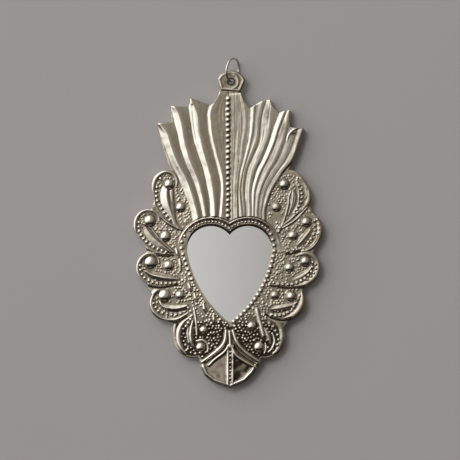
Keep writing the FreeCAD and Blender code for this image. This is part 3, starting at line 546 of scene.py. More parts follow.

# %% [markdown]
# ## The scrolls
# Ten curled leaves stand round the heart, five a side and no two alike. Each has a
# rolled rim, a row of beads inside it, a swelling rib, a round boss where the leaf curls
# and a small seed towards the glass. One leaf could be drawn, then mirrored and repeated,
# but all ten would be twins. So each has its own curves through a few given points, which
# keep the wander of the work.

# %% Scroll table
SCROLLS = {
    "left_1": {
        "rim": ((-32.9, 5.9), (-35.7, 9.4), (-37.5, 12.9), (-38.2, 17.25), (-38.2, 21.75),
                (-36.5, 26.0), (-33.25, 28.5), (-30.25, 28.75), (-27.5, 27.0), (-26.25, 24.25),
                (-26.75, 21.25)),
        "beads": ((-34.4, 25.4), (-36.4, 19.75), (-35.5, 13.6), (-31.6, 7.3), (-29.7, 4.8)),
        "rib": ((-31.75, 21.0), (-32.25, 18.0), (-32.0, 14.5), (-30.75, 10.5), (-29.0, 6.25),
                (-27.5, 2.5)),
        "rib_half": (1.9, 2.6, 2.6, 2.1, 1.4, 0.6),
        "rib_face_highlight": 0.34,
        "lean": 0.35,
        "boss": (-30.25, 22.6, 2.6),
        "seed": (-24.5, 11.1, 2.4),
        "vein": ((-29.0, 19.5), (-28.6, 12.0), (-27.6, 4.0), (-25.75, 0.75)),
    },
    "left_2": {
        "rim": ((-29.25, -12.5), (-34.75, -12.0), (-38.75, -10.75), (-41.75, -8.75), (-44.5, -6.0),
                (-46.5, -2.75), (-47.4, 1.25), (-46.75, 5.25), (-44.5, 8.5), (-41.25, 9.85),
                (-38.0, 9.25), (-35.75, 7.0), (-35.0, 4.25)),
        "beads": ((-45.2, 3.5), (-44.9, -0.8), (-42.7, -4.5), (-39.5, -7.4), (-35.9, -9.8),
                  (-31.75, -11.4)),
        "rib": ((-43.0, 1.9), (-41.0, -1.9), (-38.3, -5.4), (-34.6, -8.4), (-29.4, -11.5)),
        "rib_half": (0.8, 1.6, 1.9, 1.6, 0.5),
        "rib_face_highlight": 0.22,
        "rib_height": 0.7,
        "climb": 0.9,
        "lean": 0.6,
        "boss": (-39.85, 4.4, 2.95),
        "seed": (-32.0, -3.4, 2.6),
    },
    "left_3": {
        "rim": ((-28.25, -28.75), (-34.75, -29.0), (-39.75, -28.25), (-42.75, -26.5), (-45.1, -23.75),
                (-46.1, -20.25), (-45.6, -16.75), (-43.75, -13.75), (-41.0, -12.15), (-38.0, -12.5),
                (-35.75, -14.5), (-35.25, -16.75)),
        "beads": ((-44.5, -18.0), (-44.0, -21.75), (-41.0, -25.0), (-36.75, -26.75), (-31.5, -27.0),
                  (-27.0, -26.75)),
        "rib": ((-41.75, -20.75), (-38.75, -22.5), (-34.75, -23.5), (-29.75, -24.25), (-25.25, -24.75)),
        "rib_half": (0.9, 1.8, 2.0, 1.6, 0.6),
        "lean": -0.3,
        "flutes": 2,
        "boss": (-39.5, -16.4, 3.2),
        "seed": (-30.4, -18.1, 2.5),
    },
    "left_4": {
        "rim": ((-20.75, -41.75), (-24.75, -44.25), (-28.75, -45.25), (-32.75, -44.75), (-36.25, -42.75),
                (-38.6, -39.5), (-39.25, -35.5), (-38.0, -32.0), (-35.25, -29.9), (-32.25, -29.75),
                (-29.75, -31.25), (-29.0, -33.75)),
        "beads": ((-38.0, -37.0), (-35.25, -40.75), (-31.0, -42.25), (-26.5, -42.5), (-22.0, -40.75),
                  (-20.75, -39.25)),
        "rib": ((-34.5, -35.75), (-33.25, -37.75), (-29.75, -39.0), (-25.75, -39.0), (-21.25, -38.0)),
        "rib_half": (0.9, 1.6, 1.8, 1.5, 0.6),
        "lean": -0.4,
        "boss": (-32.5, -33.0, 3.2),
        "seed": (-24.8, -32.8, 2.2),
    },
    "left_5": {
        "rim": ((-19.75, -43.75), (-22.75, -46.0), (-24.75, -49.25), (-25.5, -53.0), (-25.0, -57.0),
                (-23.5, -60.25), (-22.0, -62.0)),
        "beads": ((-19.4, -44.9), (-20.6, -46.7), (-21.6, -48.4)),
        "outer_beads": ((-21.9, -57.75), (-20.7, -60.0), (-18.9, -61.6), (-17.0, -62.1), (-14.75, -61.6)),
        "rib": ((-18.3, -45.6), (-19.05, -49.5), (-19.2, -53.25), (-18.7, -57.25), (-17.9, -58.75)),
        "rib_half": (0.5, 1.15, 1.4, 1.2, 0.5),
        "lean": -0.2,
        "boss": (-14.5, -58.8, 2.5),
        "seed": (-12.9, -50.2, 2.1),
    },
    "right_1": {
        "rim": ((30.75, 5.25), (33.75, 7.75), (37.0, 10.75), (39.15, 13.75), (39.75, 16.75),
                (39.0, 20.25), (37.25, 23.75), (35.5, 25.6)),
        "beads": ((34.8, 22.0), (36.2, 18.6), (36.4, 15.5), (35.2, 12.1), (32.6, 8.2)),
        "rib": ((32.0, 19.3), (32.3, 16.0), (31.5, 12.0), (30.4, 9.3), (29.4, 7.2)),
        "rib_half": (0.8, 1.8, 1.7, 1.0, 0.4),
        "lean": -0.3,
        "flutes": 3,
        "boss": (27.45, 22.55, 2.6),
        "seed": (23.5, 11.1, 2.2),
    },
    "right_2": {
        "rim": ((33.25, -10.75), (36.75, -10.75), (40.25, -9.5), (43.0, -6.75), (44.6, -3.25),
                (45.3, 0.75), (44.2, 4.75), (42.0, 7.75), (40.0, 9.2)),
        "beads": ((42.6, 4.25), (42.9, 0.75), (42.4, -1.75), (41.0, -4.6), (39.6, -6.2)),
        "outer_beads": ((44.0, 4.9), (44.7, 2.4), (44.8, 0.2), (44.2, -2.2)),
        "rib": ((40.5, 0.0), (38.5, -2.75), (36.25, -5.5), (34.0, -7.75)),
        "rib_half": (1.2, 2.1, 2.2, 1.0),
        "lean": 0.0,
        "flutes": 2,
        "boss": (38.4, 3.8, 2.6),
        "seed": (31.8, -3.0, 2.4),
    },
    "right_3": {
        "rim": ((25.75, -29.0), (31.25, -29.0), (36.25, -28.0), (40.0, -26.0), (42.8, -23.25),
                (44.3, -19.75), (44.2, -16.25), (42.0, -13.5), (38.75, -12.0), (36.0, -12.4),
                (33.5, -13.1)),
        "beads": ((41.6, -16.5), (41.4, -20.5), (38.8, -23.8), (35.5, -25.9), (31.0, -27.5), (24.5, -27.4)),
        "outer_beads": ((43.1, -17.4), (43.3, -19.4), (42.4, -21.5), (40.8, -23.5), (39.0, -25.0)),
        "rib": ((41.0, -17.6), (40.2, -19.9), (37.9, -22.0), (34.5, -24.0), (30.5, -25.6)),
        "rib_half": (0.5, 1.2, 1.9, 2.0, 0.8),
        "climb": -1.0,
        "lean": 0.35,
        "flutes": 2,
        "boss": (38.05, -15.9, 2.6),
        "seed": (29.95, -19.0, 2.3),
    },
    "right_4": {
        "rim": ((19.25, -44.25), (22.75, -45.5), (26.75, -45.5), (30.75, -43.75), (34.0, -41.0),
                (36.0, -37.5), (36.6, -34.0), (36.3, -31.4)),
        "beads": ((34.25, -34.75), (32.0, -39.0), (28.0, -42.25), (23.5, -43.25), (21.25, -42.75)),
        "rib": ((33.0, -37.2), (30.3, -37.9), (27.0, -38.6), (23.8, -39.2), (20.75, -39.9)),
        "rib_half": (0.7, 1.1, 1.4, 1.2, 0.5),
        "lean": 0.3,
        "boss": (30.9, -33.4, 2.5),
        "seed": (22.75, -32.75, 2.2),
    },
    "right_5": {
        "rim": ((19.75, -44.25), (23.25, -46.25), (25.75, -49.25), (26.5, -53.25), (25.5, -57.25),
                (23.75, -60.5), (22.0, -62.0)),
        "beads": ((20.0, -46.9), (22.05, -48.7), (23.2, -50.8), (24.1, -52.9), (24.6, -55.25), (24.2, -57.6)),
        "rib": ((17.4, -49.2), (18.4, -51.0), (19.4, -53.3), (20.2, -55.6), (20.6, -57.2)),
        "rib_half": (0.5, 1.0, 1.2, 1.0, 0.4),
        "lean": 0.0,
        "boss": (14.8, -58.7, 2.8),
        "seed": (11.1, -48.2, 2.2),
        "vein": ((13.75, -40.25), (15.0, -45.25), (17.05, -53.0)),
    },
}
print("scrolls:", ", ".join(SCROLLS))

# %% [markdown]
# ### Raising the scrolls
# Rims, leaves and veins stand up first, then the bosses and seeds with the moats round
# them, and the beads come last, so that they sit on whatever lies under them. The left
# side was struck harder than the right, and its heights are larger.

# %% Raise the scrolls
RIM_HALF = (0.4, 0.8, 1.2, 1.4, 1.4, 1.3, 1.1, 0.6)
RIM_HEIGHT = {"left": 0.8, "right": 0.5}
RIM_LINE = 0.35
RIB_HEIGHT = {"left": 1.3, "right": 0.65}
VEIN_HALF = 1.25
VEIN_HEIGHT = {"left": 0.6, "right": 1.0}
VEIN_GLOSS = {"left": 0.0, "right": 0.4}
BOSS_HEIGHT = 1.9
BOSS_MOAT = 0.5
SEED_HEIGHT = 1.5
SEED_MOAT = 0.4
BEAD_PITCH = 2.25
BEAD_RADIUS = 0.9
OUTER_BEAD_RADIUS = 0.75
BEAD_HEIGHT = 0.85

for name, leaf in SCROLLS.items():
    side = name.split("_")[0]
    raise_ridge(leaf["rim"], RIM_HALF, RIM_HEIGHT[side], line=RIM_LINE)
    # Two left leaves get a painted highlight on one face of their rib.
    tall = leaf.get("rib_height", RIB_HEIGHT[side])
    raise_leaf(leaf["rib"], leaf["rib_half"], tall, leaf["lean"], leaf.get("flutes", 0),
               leaf.get("climb", 0.0), leaf.get("rib_face_highlight", 0.0))
    if "vein" in leaf:
        raise_ridge(leaf["vein"], VEIN_HALF, VEIN_HEIGHT[side], gloss=VEIN_GLOSS[side])
for leaf in SCROLLS.values():
    punch_dome(*leaf["boss"], BOSS_HEIGHT, moat=BOSS_MOAT, gloss=DOME_GLOSS)
    punch_dome(*leaf["seed"], SEED_HEIGHT, moat=SEED_MOAT, gloss=DOME_GLOSS)
    punch_row(leaf["beads"], BEAD_PITCH, BEAD_RADIUS, BEAD_HEIGHT)
    if "outer_beads" in leaf:
        punch_row(leaf["outer_beads"], BEAD_PITCH, OUTER_BEAD_RADIUS, BEAD_HEIGHT)
print("highest boss %.2f mm above the sheet" % relief.max())

# %% [markdown]
# ### Stems, strands and creases
# Thin stems run between the leaves and curl round the lowest bosses, where a few are
# rubbed bright. Strands are fine scratched lines, and small knobs close the stems' ends.
# Last come the deep dark creases that part one scroll from the next: they cut through
# everything that was raised before.

# %% Stems, strands and creases
STEMS = (
    ((-36.5, 8.2), (-30.1, 2.9), (-23.9, -0.25)),
    ((39.0, 11.2), (32.75, 4.75), (25.9, 0.4)),
    ((37.0, 11.6), (31.2, 5.8), (27.1, 2.4)),
    ((30.95, 19.3), (29.8, 16.5), (29.5, 12.9), (28.4, 8.4), (27.3, 4.75), (26.2, 1.8)),
    ((33.5, 22.5), (34.6, 19.75), (34.7, 15.65), (34.1, 12.0), (32.4, 8.9)),
    ((-42.85, 2.95), (-39.0, 0.2), (-35.1, -4.6), (-30.6, -8.9), (-28.1, -11.2)),
    ((-17.75, -39.25), (-16.75, -45.5), (-16.25, -52.75)),
    ((-20.6, -48.75), (-20.9, -52.0), (-20.2, -56.5)),
)
RUBBED_STEMS = (
    ((-16.4, -55.7), (-13.6, -55.3), (-11.6, -56.6), (-10.7, -59.0), (-11.0, -61.0)),
    ((21.4, -51.9), (22.3, -53.9), (22.6, -56.1), (21.9, -58.3), (20.9, -60.0), (19.6, -61.2)),
    ((18.0, -57.0), (18.3, -59.2), (17.6, -61.8)),
)
STEM_HALF = (0.5, 0.75, 0.6)
STEM_HEIGHT = 0.6
STEM_LINE = 0.6
RIDGE_GLOSS = 0.4
STRANDS = (
    ((44.3, -2.1), (43.7, -5.25), (41.5, -8.05), (37.75, -10.25)),
    ((43.05, -4.0), (41.5, -6.5), (38.4, -9.0), (35.9, -9.95)),
    ((38.9, 20.5), (38.7, 15.5), (36.0, 10.5)),
    ((-42.4, -20.1), (-36.5, -20.7), (-30.6, -22.1), (-26.9, -23.7)),
    ((-46.7, 0.9), (-45.35, -4.55), (-42.4, -9.1), (-38.3, -11.4)),
)
STRAND_HALF = 0.4
STRAND_DEPTH = 0.2
STRAND_DIRT = 0.6
KNOBS = ((25.25, 0.75, 1.1), (24.6, -1.0, 0.9), (29.2, -11.2, 0.8), (32.2, -10.2, 0.8), (33.9, -10.2, 0.7))
KNOB_HEIGHT = 0.9
CREASES = (
    ((-35.5, -12.9), (-32.0, -13.4), (-28.25, -13.0)),
    ((-40.4, -28.4), (-33.9, -29.0), (-25.5, -27.5)),
    ((-30.5, -40.4), (-26.5, -40.7), (-21.5, -39.6)),
    ((-30.5, -46.3), (-26.0, -46.2), (-21.5, -43.6)),
    ((28.0, -12.3), (31.5, -12.0), (35.25, -10.8)),
    ((21.0, -28.2), (29.5, -29.3), (38.5, -28.9)),
    ((21.0, -41.0), (25.9, -40.7), (30.25, -39.8)),
    ((17.5, -42.2), (21.9, -44.4), (26.5, -45.4), (31.0, -44.6)),
)
CREASE_HALF = 1.2
CREASE_DEPTH = 1.2
CREASE_DIRT = 1.0

for stem in STEMS:
    raise_ridge(stem, STEM_HALF, STEM_HEIGHT, line=STEM_LINE)
for stem in RUBBED_STEMS:
    raise_ridge(stem, STEM_HALF, STEM_HEIGHT, line=STEM_LINE, gloss=RIDGE_GLOSS)
for strand in STRANDS:
    press_groove(strand, STRAND_HALF, STRAND_DEPTH, darkness=STRAND_DIRT)
for x, z, radius in KNOBS:
    punch_dome(x, z, radius, KNOB_HEIGHT, gloss=DOME_GLOSS)
for crease_line in CREASES:
    press_groove(crease_line, CREASE_HALF, CREASE_DEPTH, darkness=CREASE_DIRT)
print("stems: %d, strands: %d, creases: %d" % (len(STEMS + RUBBED_STEMS), len(STRANDS), len(CREASES)))

# %% [markdown]
# ## The moulding round the glass
# The sheet dips to the glass in a bevel that is widest over the two lobes, where a thin
# roll and a dark channel follow it and the flames rise behind. Down the sides the bevel
# is a narrow lip. The distance to the heart's outline gives every one of these bands, and
# its slope tells which part of the outline faces up. An extruded profile would be the
# usual way, but it can't change its form along the way as this one does.

# %% Lip, roll and channel
UPWARD_SOFTNESS = 1.0
LOBE_GAIN = 1.5
LOBE_FROM = 0.2
LIP_DROP = 0.4
BEVEL_SIDE = 0.3
BEVEL_TOP = 1.15
BEVEL_RISE = 0.35
BEVEL_REACH = 3.0
CLEARED = 2.0
FLAT_FADE = 2.0
ROLL_OFFSET = 4.15
ROLL_HALF = 0.7
ROLL_HEIGHT = 0.85
CHANNEL_OFFSET = 3.25
CHANNEL_HALF = 0.7
CHANNEL_DEPTH = 0.6

slope_z, slope_x = np.gradient(heart, GRID_STEP)
upward = np.clip(soften(slope_z, UPWARD_SOFTNESS), -1.0, 1.0)
over_lobes = np.clip(LOBE_GAIN * upward - LOBE_FROM, 0.0, 1.0)
outside = heart > 0.0
bevel_width = BEVEL_SIDE + (BEVEL_TOP - BEVEL_SIDE) * over_lobes
bevel_height = BEVEL_RISE * over_lobes
border = (heart >= 0.0) & (heart < FLAME_START)
relief[border & (heart < CLEARED)] = 0.0
share = np.clip(heart / bevel_width, 0.0, 1.0)
bevel = -LIP_DROP + (LIP_DROP + bevel_height) * share
flat = bevel_height * np.clip(1.0 - (heart - bevel_width) / FLAT_FADE, 0.0, 1.0)
dressed = np.where(share < 1.0, bevel, np.maximum(relief, flat))
np.copyto(relief, dressed, where=border & (heart < BEVEL_REACH))
roll = ROLL_HEIGHT * np.clip(1.0 - ((heart - ROLL_OFFSET) / ROLL_HALF) ** 2, 0.0, 1.0)
np.maximum(relief, np.where(outside, roll * over_lobes, relief), out=relief)
channel = np.clip(1.0 - ((heart - CHANNEL_OFFSET) / CHANNEL_HALF) ** 2, 0.0, 1.0)
relief -= np.where(outside, CHANNEL_DEPTH * channel * over_lobes, 0.0)
print("bevel up to %.2f mm wide" % bevel_width[border].max())

# %% [markdown]
# Dirt has gathered in the channel, at the foot of the flames, between the bevel and the
# roll, and in a soft band down the upper left. The border also claims its own room, so
# that the stipple stays off it: much over the lobes, little at the sides, and next to
# none at the lower left, where the moulding is worn away.

# %% Dirt and room of the moulding
CHANNEL_DIRT = 0.8
FOOT_LINE_HALF = 0.35
FOOT_LINE_DIRT = 0.7
LOBE_BAND = (0.8, 3.6)
LOBE_DIRT = 0.5
LEFT_BAND = (1.2, 1.8)
LEFT_BAND_DIRT = 0.5
BORDER_TOP = 5.3
BORDER_SIDE = 2.2
BORDER_WORN = 0.7
PEARLS_END = -0.42

foot_line = np.clip(1.0 - np.abs(heart - FLAME_START) / FOOT_LINE_HALF, 0.0, 1.0)
lobe_band = (heart > LOBE_BAND[0]) & (heart < LOBE_BAND[1])
for band, darkness in ((channel, CHANNEL_DIRT), (foot_line, FOOT_LINE_DIRT), (lobe_band, LOBE_DIRT)):
    np.maximum(dirt_and_shade, np.where(outside, darkness * band * over_lobes, 0.0), out=dirt_and_shade)
left_band = np.clip(1.0 - np.abs(heart - LEFT_BAND[0]) / LEFT_BAND[1], 0.0, 1.0)
left_band *= (X < 0.0) & outside & (upward > 0.0)
np.maximum(dirt_and_shade, LEFT_BAND_DIRT * left_band, out=dirt_and_shade)
worn = (X < 0.0) & (upward < PEARLS_END)
border_width = np.where(upward > 0.0, BORDER_TOP, np.where(worn, BORDER_WORN, BORDER_SIDE))
np.minimum(room, heart - border_width, out=room)
print("worn border %.0f mm2" % (np.sum(worn & border) * GRID_STEP ** 2))

# %% [markdown]
# ## Pearls and grains
# A string of pearls follows the heart: large and close to the glass down the right side,
# smaller and farther off down the upper left, and worn away at the lower left. Over the
# lobes it gives way to fine beads in the dark between bevel and roll, which stray where
# the two lobes meet. A few long grains stand outside the worn part. An array along a curve
# would keep one size and one distance. So each pearl is punched by itself, at a spot that
# is stepped off along the outline and moved out square to it.

# %% Pearls and grains
PEARL_PITCH = 2.55
PEARLS_RIGHT = ((-1.0, 0.95, 1.05, 1.1), (-0.2, 1.35, 1.05, 1.1), (0.4, 1.6, 1.0, 1.05), (0.9, 2.4, 0.8, 0.9))
PEARLS_LEFT = ((-1.0, 1.05, 0.9, 0.4), (-0.3, 1.6, 0.9, 0.5), (0.2, 3.1, 0.85, 0.7), (0.9, 2.5, 0.8, 0.9))
PEARL_SIZES = (0.94, 1.06)
PEARL_RISES = (0.85, 1.05)
PEARL_MOAT = 0.3
LOBE_TOP = 0.62
FINE_BEAD_PITCH = 1.5
FINE_BEAD_OFF = 2.3
FINE_BEAD_RADIUS = 0.76
FINE_BEAD_HEIGHT = 0.95
FINE_BEAD_MOAT = 0.45
FINE_BEAD_GLOSS = 0.7
CUSP_STRAY = 0.45
CUSP_HALF = 5.0
GRAINS = (
    ((-26.6, -9.75), (-26.1, -12.0), (-25.4, -14.0)),
    ((-24.9, -14.75), (-24.6, -17.5), (-24.6, -20.75)),
    ((-20.3, -27.25), (-19.7, -29.0), (-19.2, -30.75)),
    ((-17.5, -32.25), (-17.0, -34.0), (-16.4, -36.0)),
    ((-13.0, -37.5), (-12.5, -39.5), (-11.6, -41.25)),
    ((-8.1, -43.25), (-7.7, -45.0), (-7.0, -46.5)),
)
GRAIN_HALF = (0.6, 1.05, 0.6)
GRAIN_HEIGHT = 1.1


def outward(spot):
    """The way out of the heart, square to its edge."""
    column, line = np.round((spot - low_corner) / GRID_STEP).astype(int)
    away = np.array((slope_x[line, column], slope_z[line, column]))
    return away / np.linalg.norm(away)


heart_line = np.vstack([heart_loop, heart_loop[:1]])
pearl_count = 0
for spot in even_spots(heart_line, PEARL_PITCH)[:-1]:
    away = outward(spot)
    table = np.array(PEARLS_RIGHT if spot[0] > 0 else PEARLS_LEFT)
    off, radius, height = [np.interp(away[1], table[:, 0], table[:, k]) for k in (1, 2, 3)]
    size = radius * HAND.uniform(*PEARL_SIZES)
    tall = height * HAND.uniform(*PEARL_RISES)
    worn_away = spot[0] < 0.0 and away[1] < PEARLS_END
    if away[1] < LOBE_TOP and not worn_away:
        punch_dome(*(spot + off * away), size, tall, moat=PEARL_MOAT, gloss=DOME_GLOSS)
        pearl_count += 1
for spot in even_spots(heart_line, FINE_BEAD_PITCH)[:-1]:
    away = outward(spot)
    if away[1] >= LOBE_TOP:
        stray = CUSP_STRAY * max(0.0, 1.0 - abs(spot[0]) / CUSP_HALF)
        x, z = spot + FINE_BEAD_OFF * away + HAND.normal(0.0, stray, 2)
        punch_dome(x, z, FINE_BEAD_RADIUS, FINE_BEAD_HEIGHT, moat=FINE_BEAD_MOAT, gloss=FINE_BEAD_GLOSS)
for grain in GRAINS:
    raise_ridge(grain, GRAIN_HALF, GRAIN_HEIGHT)
print("pearls round the glass:", pearl_count, "and grains:", len(GRAINS))

# %% [markdown]
# ## The lug
# The lug at the top carries the whole weight, so the maker stiffened it with a ridge just
# inside its edge and part of a ring round its hole, on the right only. It is the frame's
# own outline, so two distances are enough: to the lug's edge and to the hole's. Dirt sits
# beside the ridge. A ring of painted shade darkens the hole's edge, and the outline of the
# shoulders below the lug is darkened as painted shade too. A shallow groove marks
# the step down to the middle tongue.

# %% Lug
LUG_FROM = 69.0
LUG_OUTSIDE = 0.5
LUG_EDGE = 1.0
LUG_RIDGE_HALF = 0.8
LUG_RIDGE_HEIGHT = 0.25
LUG_DIRT = 0.58
LUG_DIRT_REACH = 1.6
PLAIN_LUG_DIRT = 0.4
HOLE_RING = 2.2
HOLE_RING_SIDE = ((-0.5, 2.0), (0.1, 1.0))
HOLE_PAINTED_SHADE = ((0.35, 1.05), (1.0, 0.0))
SHOULDER = (60.0, 69.5)
SHOULDER_HALF = 8.0
SHOULDER_EDGE = 0.7
SHOULDER_EDGE_SHADE = 0.5
LUG_STEP = ((-4.0, 68.6), (0.75, 68.1), (5.5, 68.6))
LUG_STEP_HALF = 0.9
LUG_STEP_DEPTH = 0.16

on_lug = (lug < LUG_OUTSIDE) & (Z > LUG_FROM)
relief[on_lug] = 0.0
edge_ridge = np.clip(1.0 - ((lug + LUG_EDGE) / LUG_RIDGE_HALF) ** 2, 0.0, 1.0)
hole_ridge = np.clip(1.0 - ((hole - HOLE_RING) / LUG_RIDGE_HALF) ** 2, 0.0, 1.0)
hole_ridge *= np.interp(X, *HOLE_RING_SIDE)
lug_ridges = LUG_RIDGE_HEIGHT * np.maximum(edge_ridge, hole_ridge)
relief[on_lug] = np.maximum(relief, lug_ridges)[on_lug]
beside_edge = np.clip(1.0 - np.abs(lug + LUG_EDGE) / LUG_DIRT_REACH, 0.0, 1.0)
lug_dirt_and_shade = PLAIN_LUG_DIRT + (LUG_DIRT - PLAIN_LUG_DIRT) * beside_edge * (1.0 - edge_ridge)
# Painted shade: a dark ring at the hole's edge.
lug_dirt_and_shade = np.maximum(lug_dirt_and_shade, np.interp(hole, *HOLE_PAINTED_SHADE))
dirt_and_shade[on_lug] = np.maximum(dirt_and_shade, lug_dirt_and_shade)[on_lug]
# Painted shade: the outline of the shoulders below the lug is darkened.
on_shoulder = (Z > SHOULDER[0]) & (Z < SHOULDER[1]) & (np.abs(X) < SHOULDER_HALF)
np.maximum(dirt_and_shade, np.where(on_shoulder & (tray > -SHOULDER_EDGE), SHOULDER_EDGE_SHADE, 0.0), out=dirt_and_shade)
room[on_lug] = 0.0
press_groove(LUG_STEP, LUG_STEP_HALF, LUG_STEP_DEPTH)
print("lug %.0f mm2 with its hole" % abs(loop_area(lug_loop)))

# %% [markdown]
# ## The spine of the flames
# A string of beads climbs the middle tongue to the lug, punched from behind one after the
# other, with dark gaps between them. Separate balls would be quick to place, but would sit
# on the sheet like rivets. So it is a row of domes like those in the scrolls, only larger,
# on top of the height that the fold has there.

# %% Spine beads
SPINE_BEADS = ((-0.6, 6.75), (-0.6, 65.5))
SPINE_PITCH = 2.7
SPINE_RADIUS = 1.5
SPINE_BEAD_HEIGHT = 0.85
SPINE_GAP = 1.15
SPINE_GAP_FADE = 0.4
SPINE_GAP_PAST = 1.0
SPINE_GAP_DIRT = 0.6

(spine_x, spine_foot), (_, spine_top) = SPINE_BEADS
spine_gap = np.clip((SPINE_GAP - np.abs(X - spine_x)) / SPINE_GAP_FADE, 0.0, 1.0)
spine_gap *= flame_mask & (Z < spine_top + SPINE_GAP_PAST)
np.maximum(dirt_and_shade, SPINE_GAP_DIRT * spine_gap, out=dirt_and_shade)
punch_row(SPINE_BEADS, SPINE_PITCH, SPINE_RADIUS, SPINE_BEAD_HEIGHT, base=SPINE_HEIGHT)
print("spine beads over %.1f mm" % (spine_top - spine_foot))

# %% [markdown]
# ## The tail leaf
# Below the heart hangs a small leaf with two hollows, which were dished with a few blows.
# So they are dented, and mottled with brown: more on the right than on the left. A brush
# in sculpt mode could press them, but a rule is easier to change. How far a point lies
# inside the outline and below the uppermost ribs tells how deep it is. The hollows come
# first, because the ribs and beads stand up out of them.

# %% Tail hollows
TAIL_OUTER_LEFT = ((-1.75, -50.75), (-2.25, -55.25), (-4.25, -58.75), (-8.25, -62.25), (-13.75, -66.25))
TAIL_OUTER_RIGHT = ((1.75, -50.75), (3.25, -55.25), (5.75, -59.25), (9.75, -62.75), (15.25, -66.25))
TAIL_HALF = 15.5
TAIL_DISH = 1.0
TAIL_DISH_IN = ((1.0, 4.0), (0.0, 1.0))
TAIL_DISH_DOWN = ((2.5, 5.5), (0.0, 1.0))
TAIL_DENTS = 0.26
TAIL_DENT_SIZE = 0.9
TAIL_DIRT = ((-3.0, 3.0), (0.32, 0.64))
TAIL_MOTTLE = 0.22
TAIL_MOTTLE_SIZE = 0.7

tail_line = np.array(TAIL_OUTER_LEFT[::-1] + TAIL_OUTER_RIGHT)
below_ribs = np.interp(grid_x, tail_line[:, 0], tail_line[:, 1])[None, :] - Z
on_tail = (below_ribs > 0.0) & (np.abs(X) < TAIL_HALF)
dish = np.interp(-tray, *TAIL_DISH_IN) * np.interp(below_ribs, *TAIL_DISH_DOWN)
dents = TAIL_DENTS * hammer_noise(TAIL_DENT_SIZE)
relief[on_tail] -= (dish * (TAIL_DISH + dents))[on_tail]
room[on_tail] = 0.0
tail_dirt = dish * (np.interp(X, *TAIL_DIRT) + TAIL_MOTTLE * hammer_noise(TAIL_MOTTLE_SIZE))
np.maximum(dirt_and_shade, np.where(on_tail, tail_dirt, 0.0), out=dirt_and_shade)
print("tail leaf %.0f mm2" % (np.sum(on_tail & (tray < 0.0)) * GRID_STEP ** 2))

# %% [markdown]
# Two pairs of curved ribs spread from the stem, with deep dark gaps between them. Two
# straight ridges run down to the tip with a row of beads between them, and a thin rim
# closes the leaf. All of these are the marks used before, so only their lines are new.

# %% Tail ribs and beads
TAIL_INNER_LEFT = ((-0.25, -57.75), (-2.75, -61.25), (-7.25, -64.75), (-10.25, -67.75))
TAIL_INNER_RIGHT = ((0.75, -57.75), (3.25, -62.75), (7.25, -65.75), (12.75, -68.75))
TAIL_RIB_HALF = (0.9, 1.2, 1.25, 1.2, 0.9)
TAIL_RIB_HEIGHT = 1.2
TAIL_GAPS = (((-1.4, -57.0), (-3.2, -60.0), (-7.6, -63.5), (-12.2, -67.1)),
             ((2.2, -57.5), (4.4, -61.2), (8.4, -64.4), (14.0, -67.7)))
TAIL_GAP_HALF = 0.7
TAIL_GAP_DEPTH = 0.6
TAIL_GAP_DIRT = 1.0
TAIL_SPINES = (((-0.75, -58.25), (-0.75, -77.75)), ((1.75, -58.25), (1.5, -77.75)))
TAIL_SPINE_HALF = 1.0
TAIL_SPINE_HEIGHT = 0.8
TAIL_STEM = ((0.0, -51.0), (0.25, -55.0), (0.4, -58.75))
TAIL_STEM_HALF = 0.9
TAIL_STEM_HEIGHT = 1.0
TAIL_STEM_LINE = 0.6
TAIL_RIM = 1.3
TAIL_RIM_HALF = 0.9
TAIL_RIM_HEIGHT = 0.8
TAIL_RIM_FADE = ((-68.5, -66.5), (1.0, 0.0))
TAIL_BEADS = ((0.5, -61.25), (0.5, -76.25))
TAIL_BEAD_PITCH = 1.9
TAIL_BEAD_RADIUS = 0.7
TAIL_BEAD_HEIGHT = 0.9

for rib in (TAIL_OUTER_LEFT, TAIL_OUTER_RIGHT, TAIL_INNER_LEFT, TAIL_INNER_RIGHT):
    raise_ridge(rib, TAIL_RIB_HALF, TAIL_RIB_HEIGHT)
for gap_line in TAIL_GAPS:
    press_groove(gap_line, TAIL_GAP_HALF, TAIL_GAP_DEPTH, darkness=TAIL_GAP_DIRT)
for spine in TAIL_SPINES:
    raise_ridge(spine, TAIL_SPINE_HALF, TAIL_SPINE_HEIGHT)
raise_ridge(TAIL_STEM, TAIL_STEM_HALF, TAIL_STEM_HEIGHT, line=TAIL_STEM_LINE)
rim_ridge = TAIL_RIM_HEIGHT * np.clip(1.0 - ((tray + TAIL_RIM) / TAIL_RIM_HALF) ** 2, 0.0, 1.0)
np.maximum(relief, rim_ridge * np.interp(Z, *TAIL_RIM_FADE), out=relief)
punch_row(TAIL_BEADS, TAIL_BEAD_PITCH, TAIL_BEAD_RADIUS, TAIL_BEAD_HEIGHT)
print("tail rises to %.2f mm" % relief[on_tail].max())

# %% [markdown]
# ## The stippled ground
# What is left of the ground was filled with small punched dots, so that the plain leaves
# stand out from it. They are coarse and tall round the tail and finer higher up, in three
# zones. A particle system could scatter them, but they would overlap the other marks. So
# the dots lie on a loose honeycomb and keep clear of every mark, which the array of free
# room tells. One patch beside the right-hand flames was left nearly plain.

# %% Stipple
GROUND_TOP = 32.0
GROUND_EDGE = 1.0
GROUND_DARKER_LOW = ((-62.0, -48.0, -43.0, -26.0, 25.0), (0.8, 0.75, 0.35, 0.18, 0.1))
STIPPLE_ZONES = (
    (-80.0, -43.5, 1.75, (0.6, 0.85), (0.35, 0.7)),
    (-43.5, -24.0, 1.5, (0.48, 0.76), (0.2, 0.5)),
    (-24.0, GROUND_TOP, 1.3, (0.4, 0.68), (0.12, 0.34)),
)
HONEYCOMB_ROW = 0.87
STIPPLE_STRAY = 0.25
STIPPLE_CLEAR = 0.3
STIPPLE_EDGE = 2.0
STIPPLE_MISSED = ((-48.0, -43.0), (0.0, 0.25))
PLAIN_GROUND = ((16.0, 2.0), (26.5, 14.0))
PLAIN_SHARE = 0.8

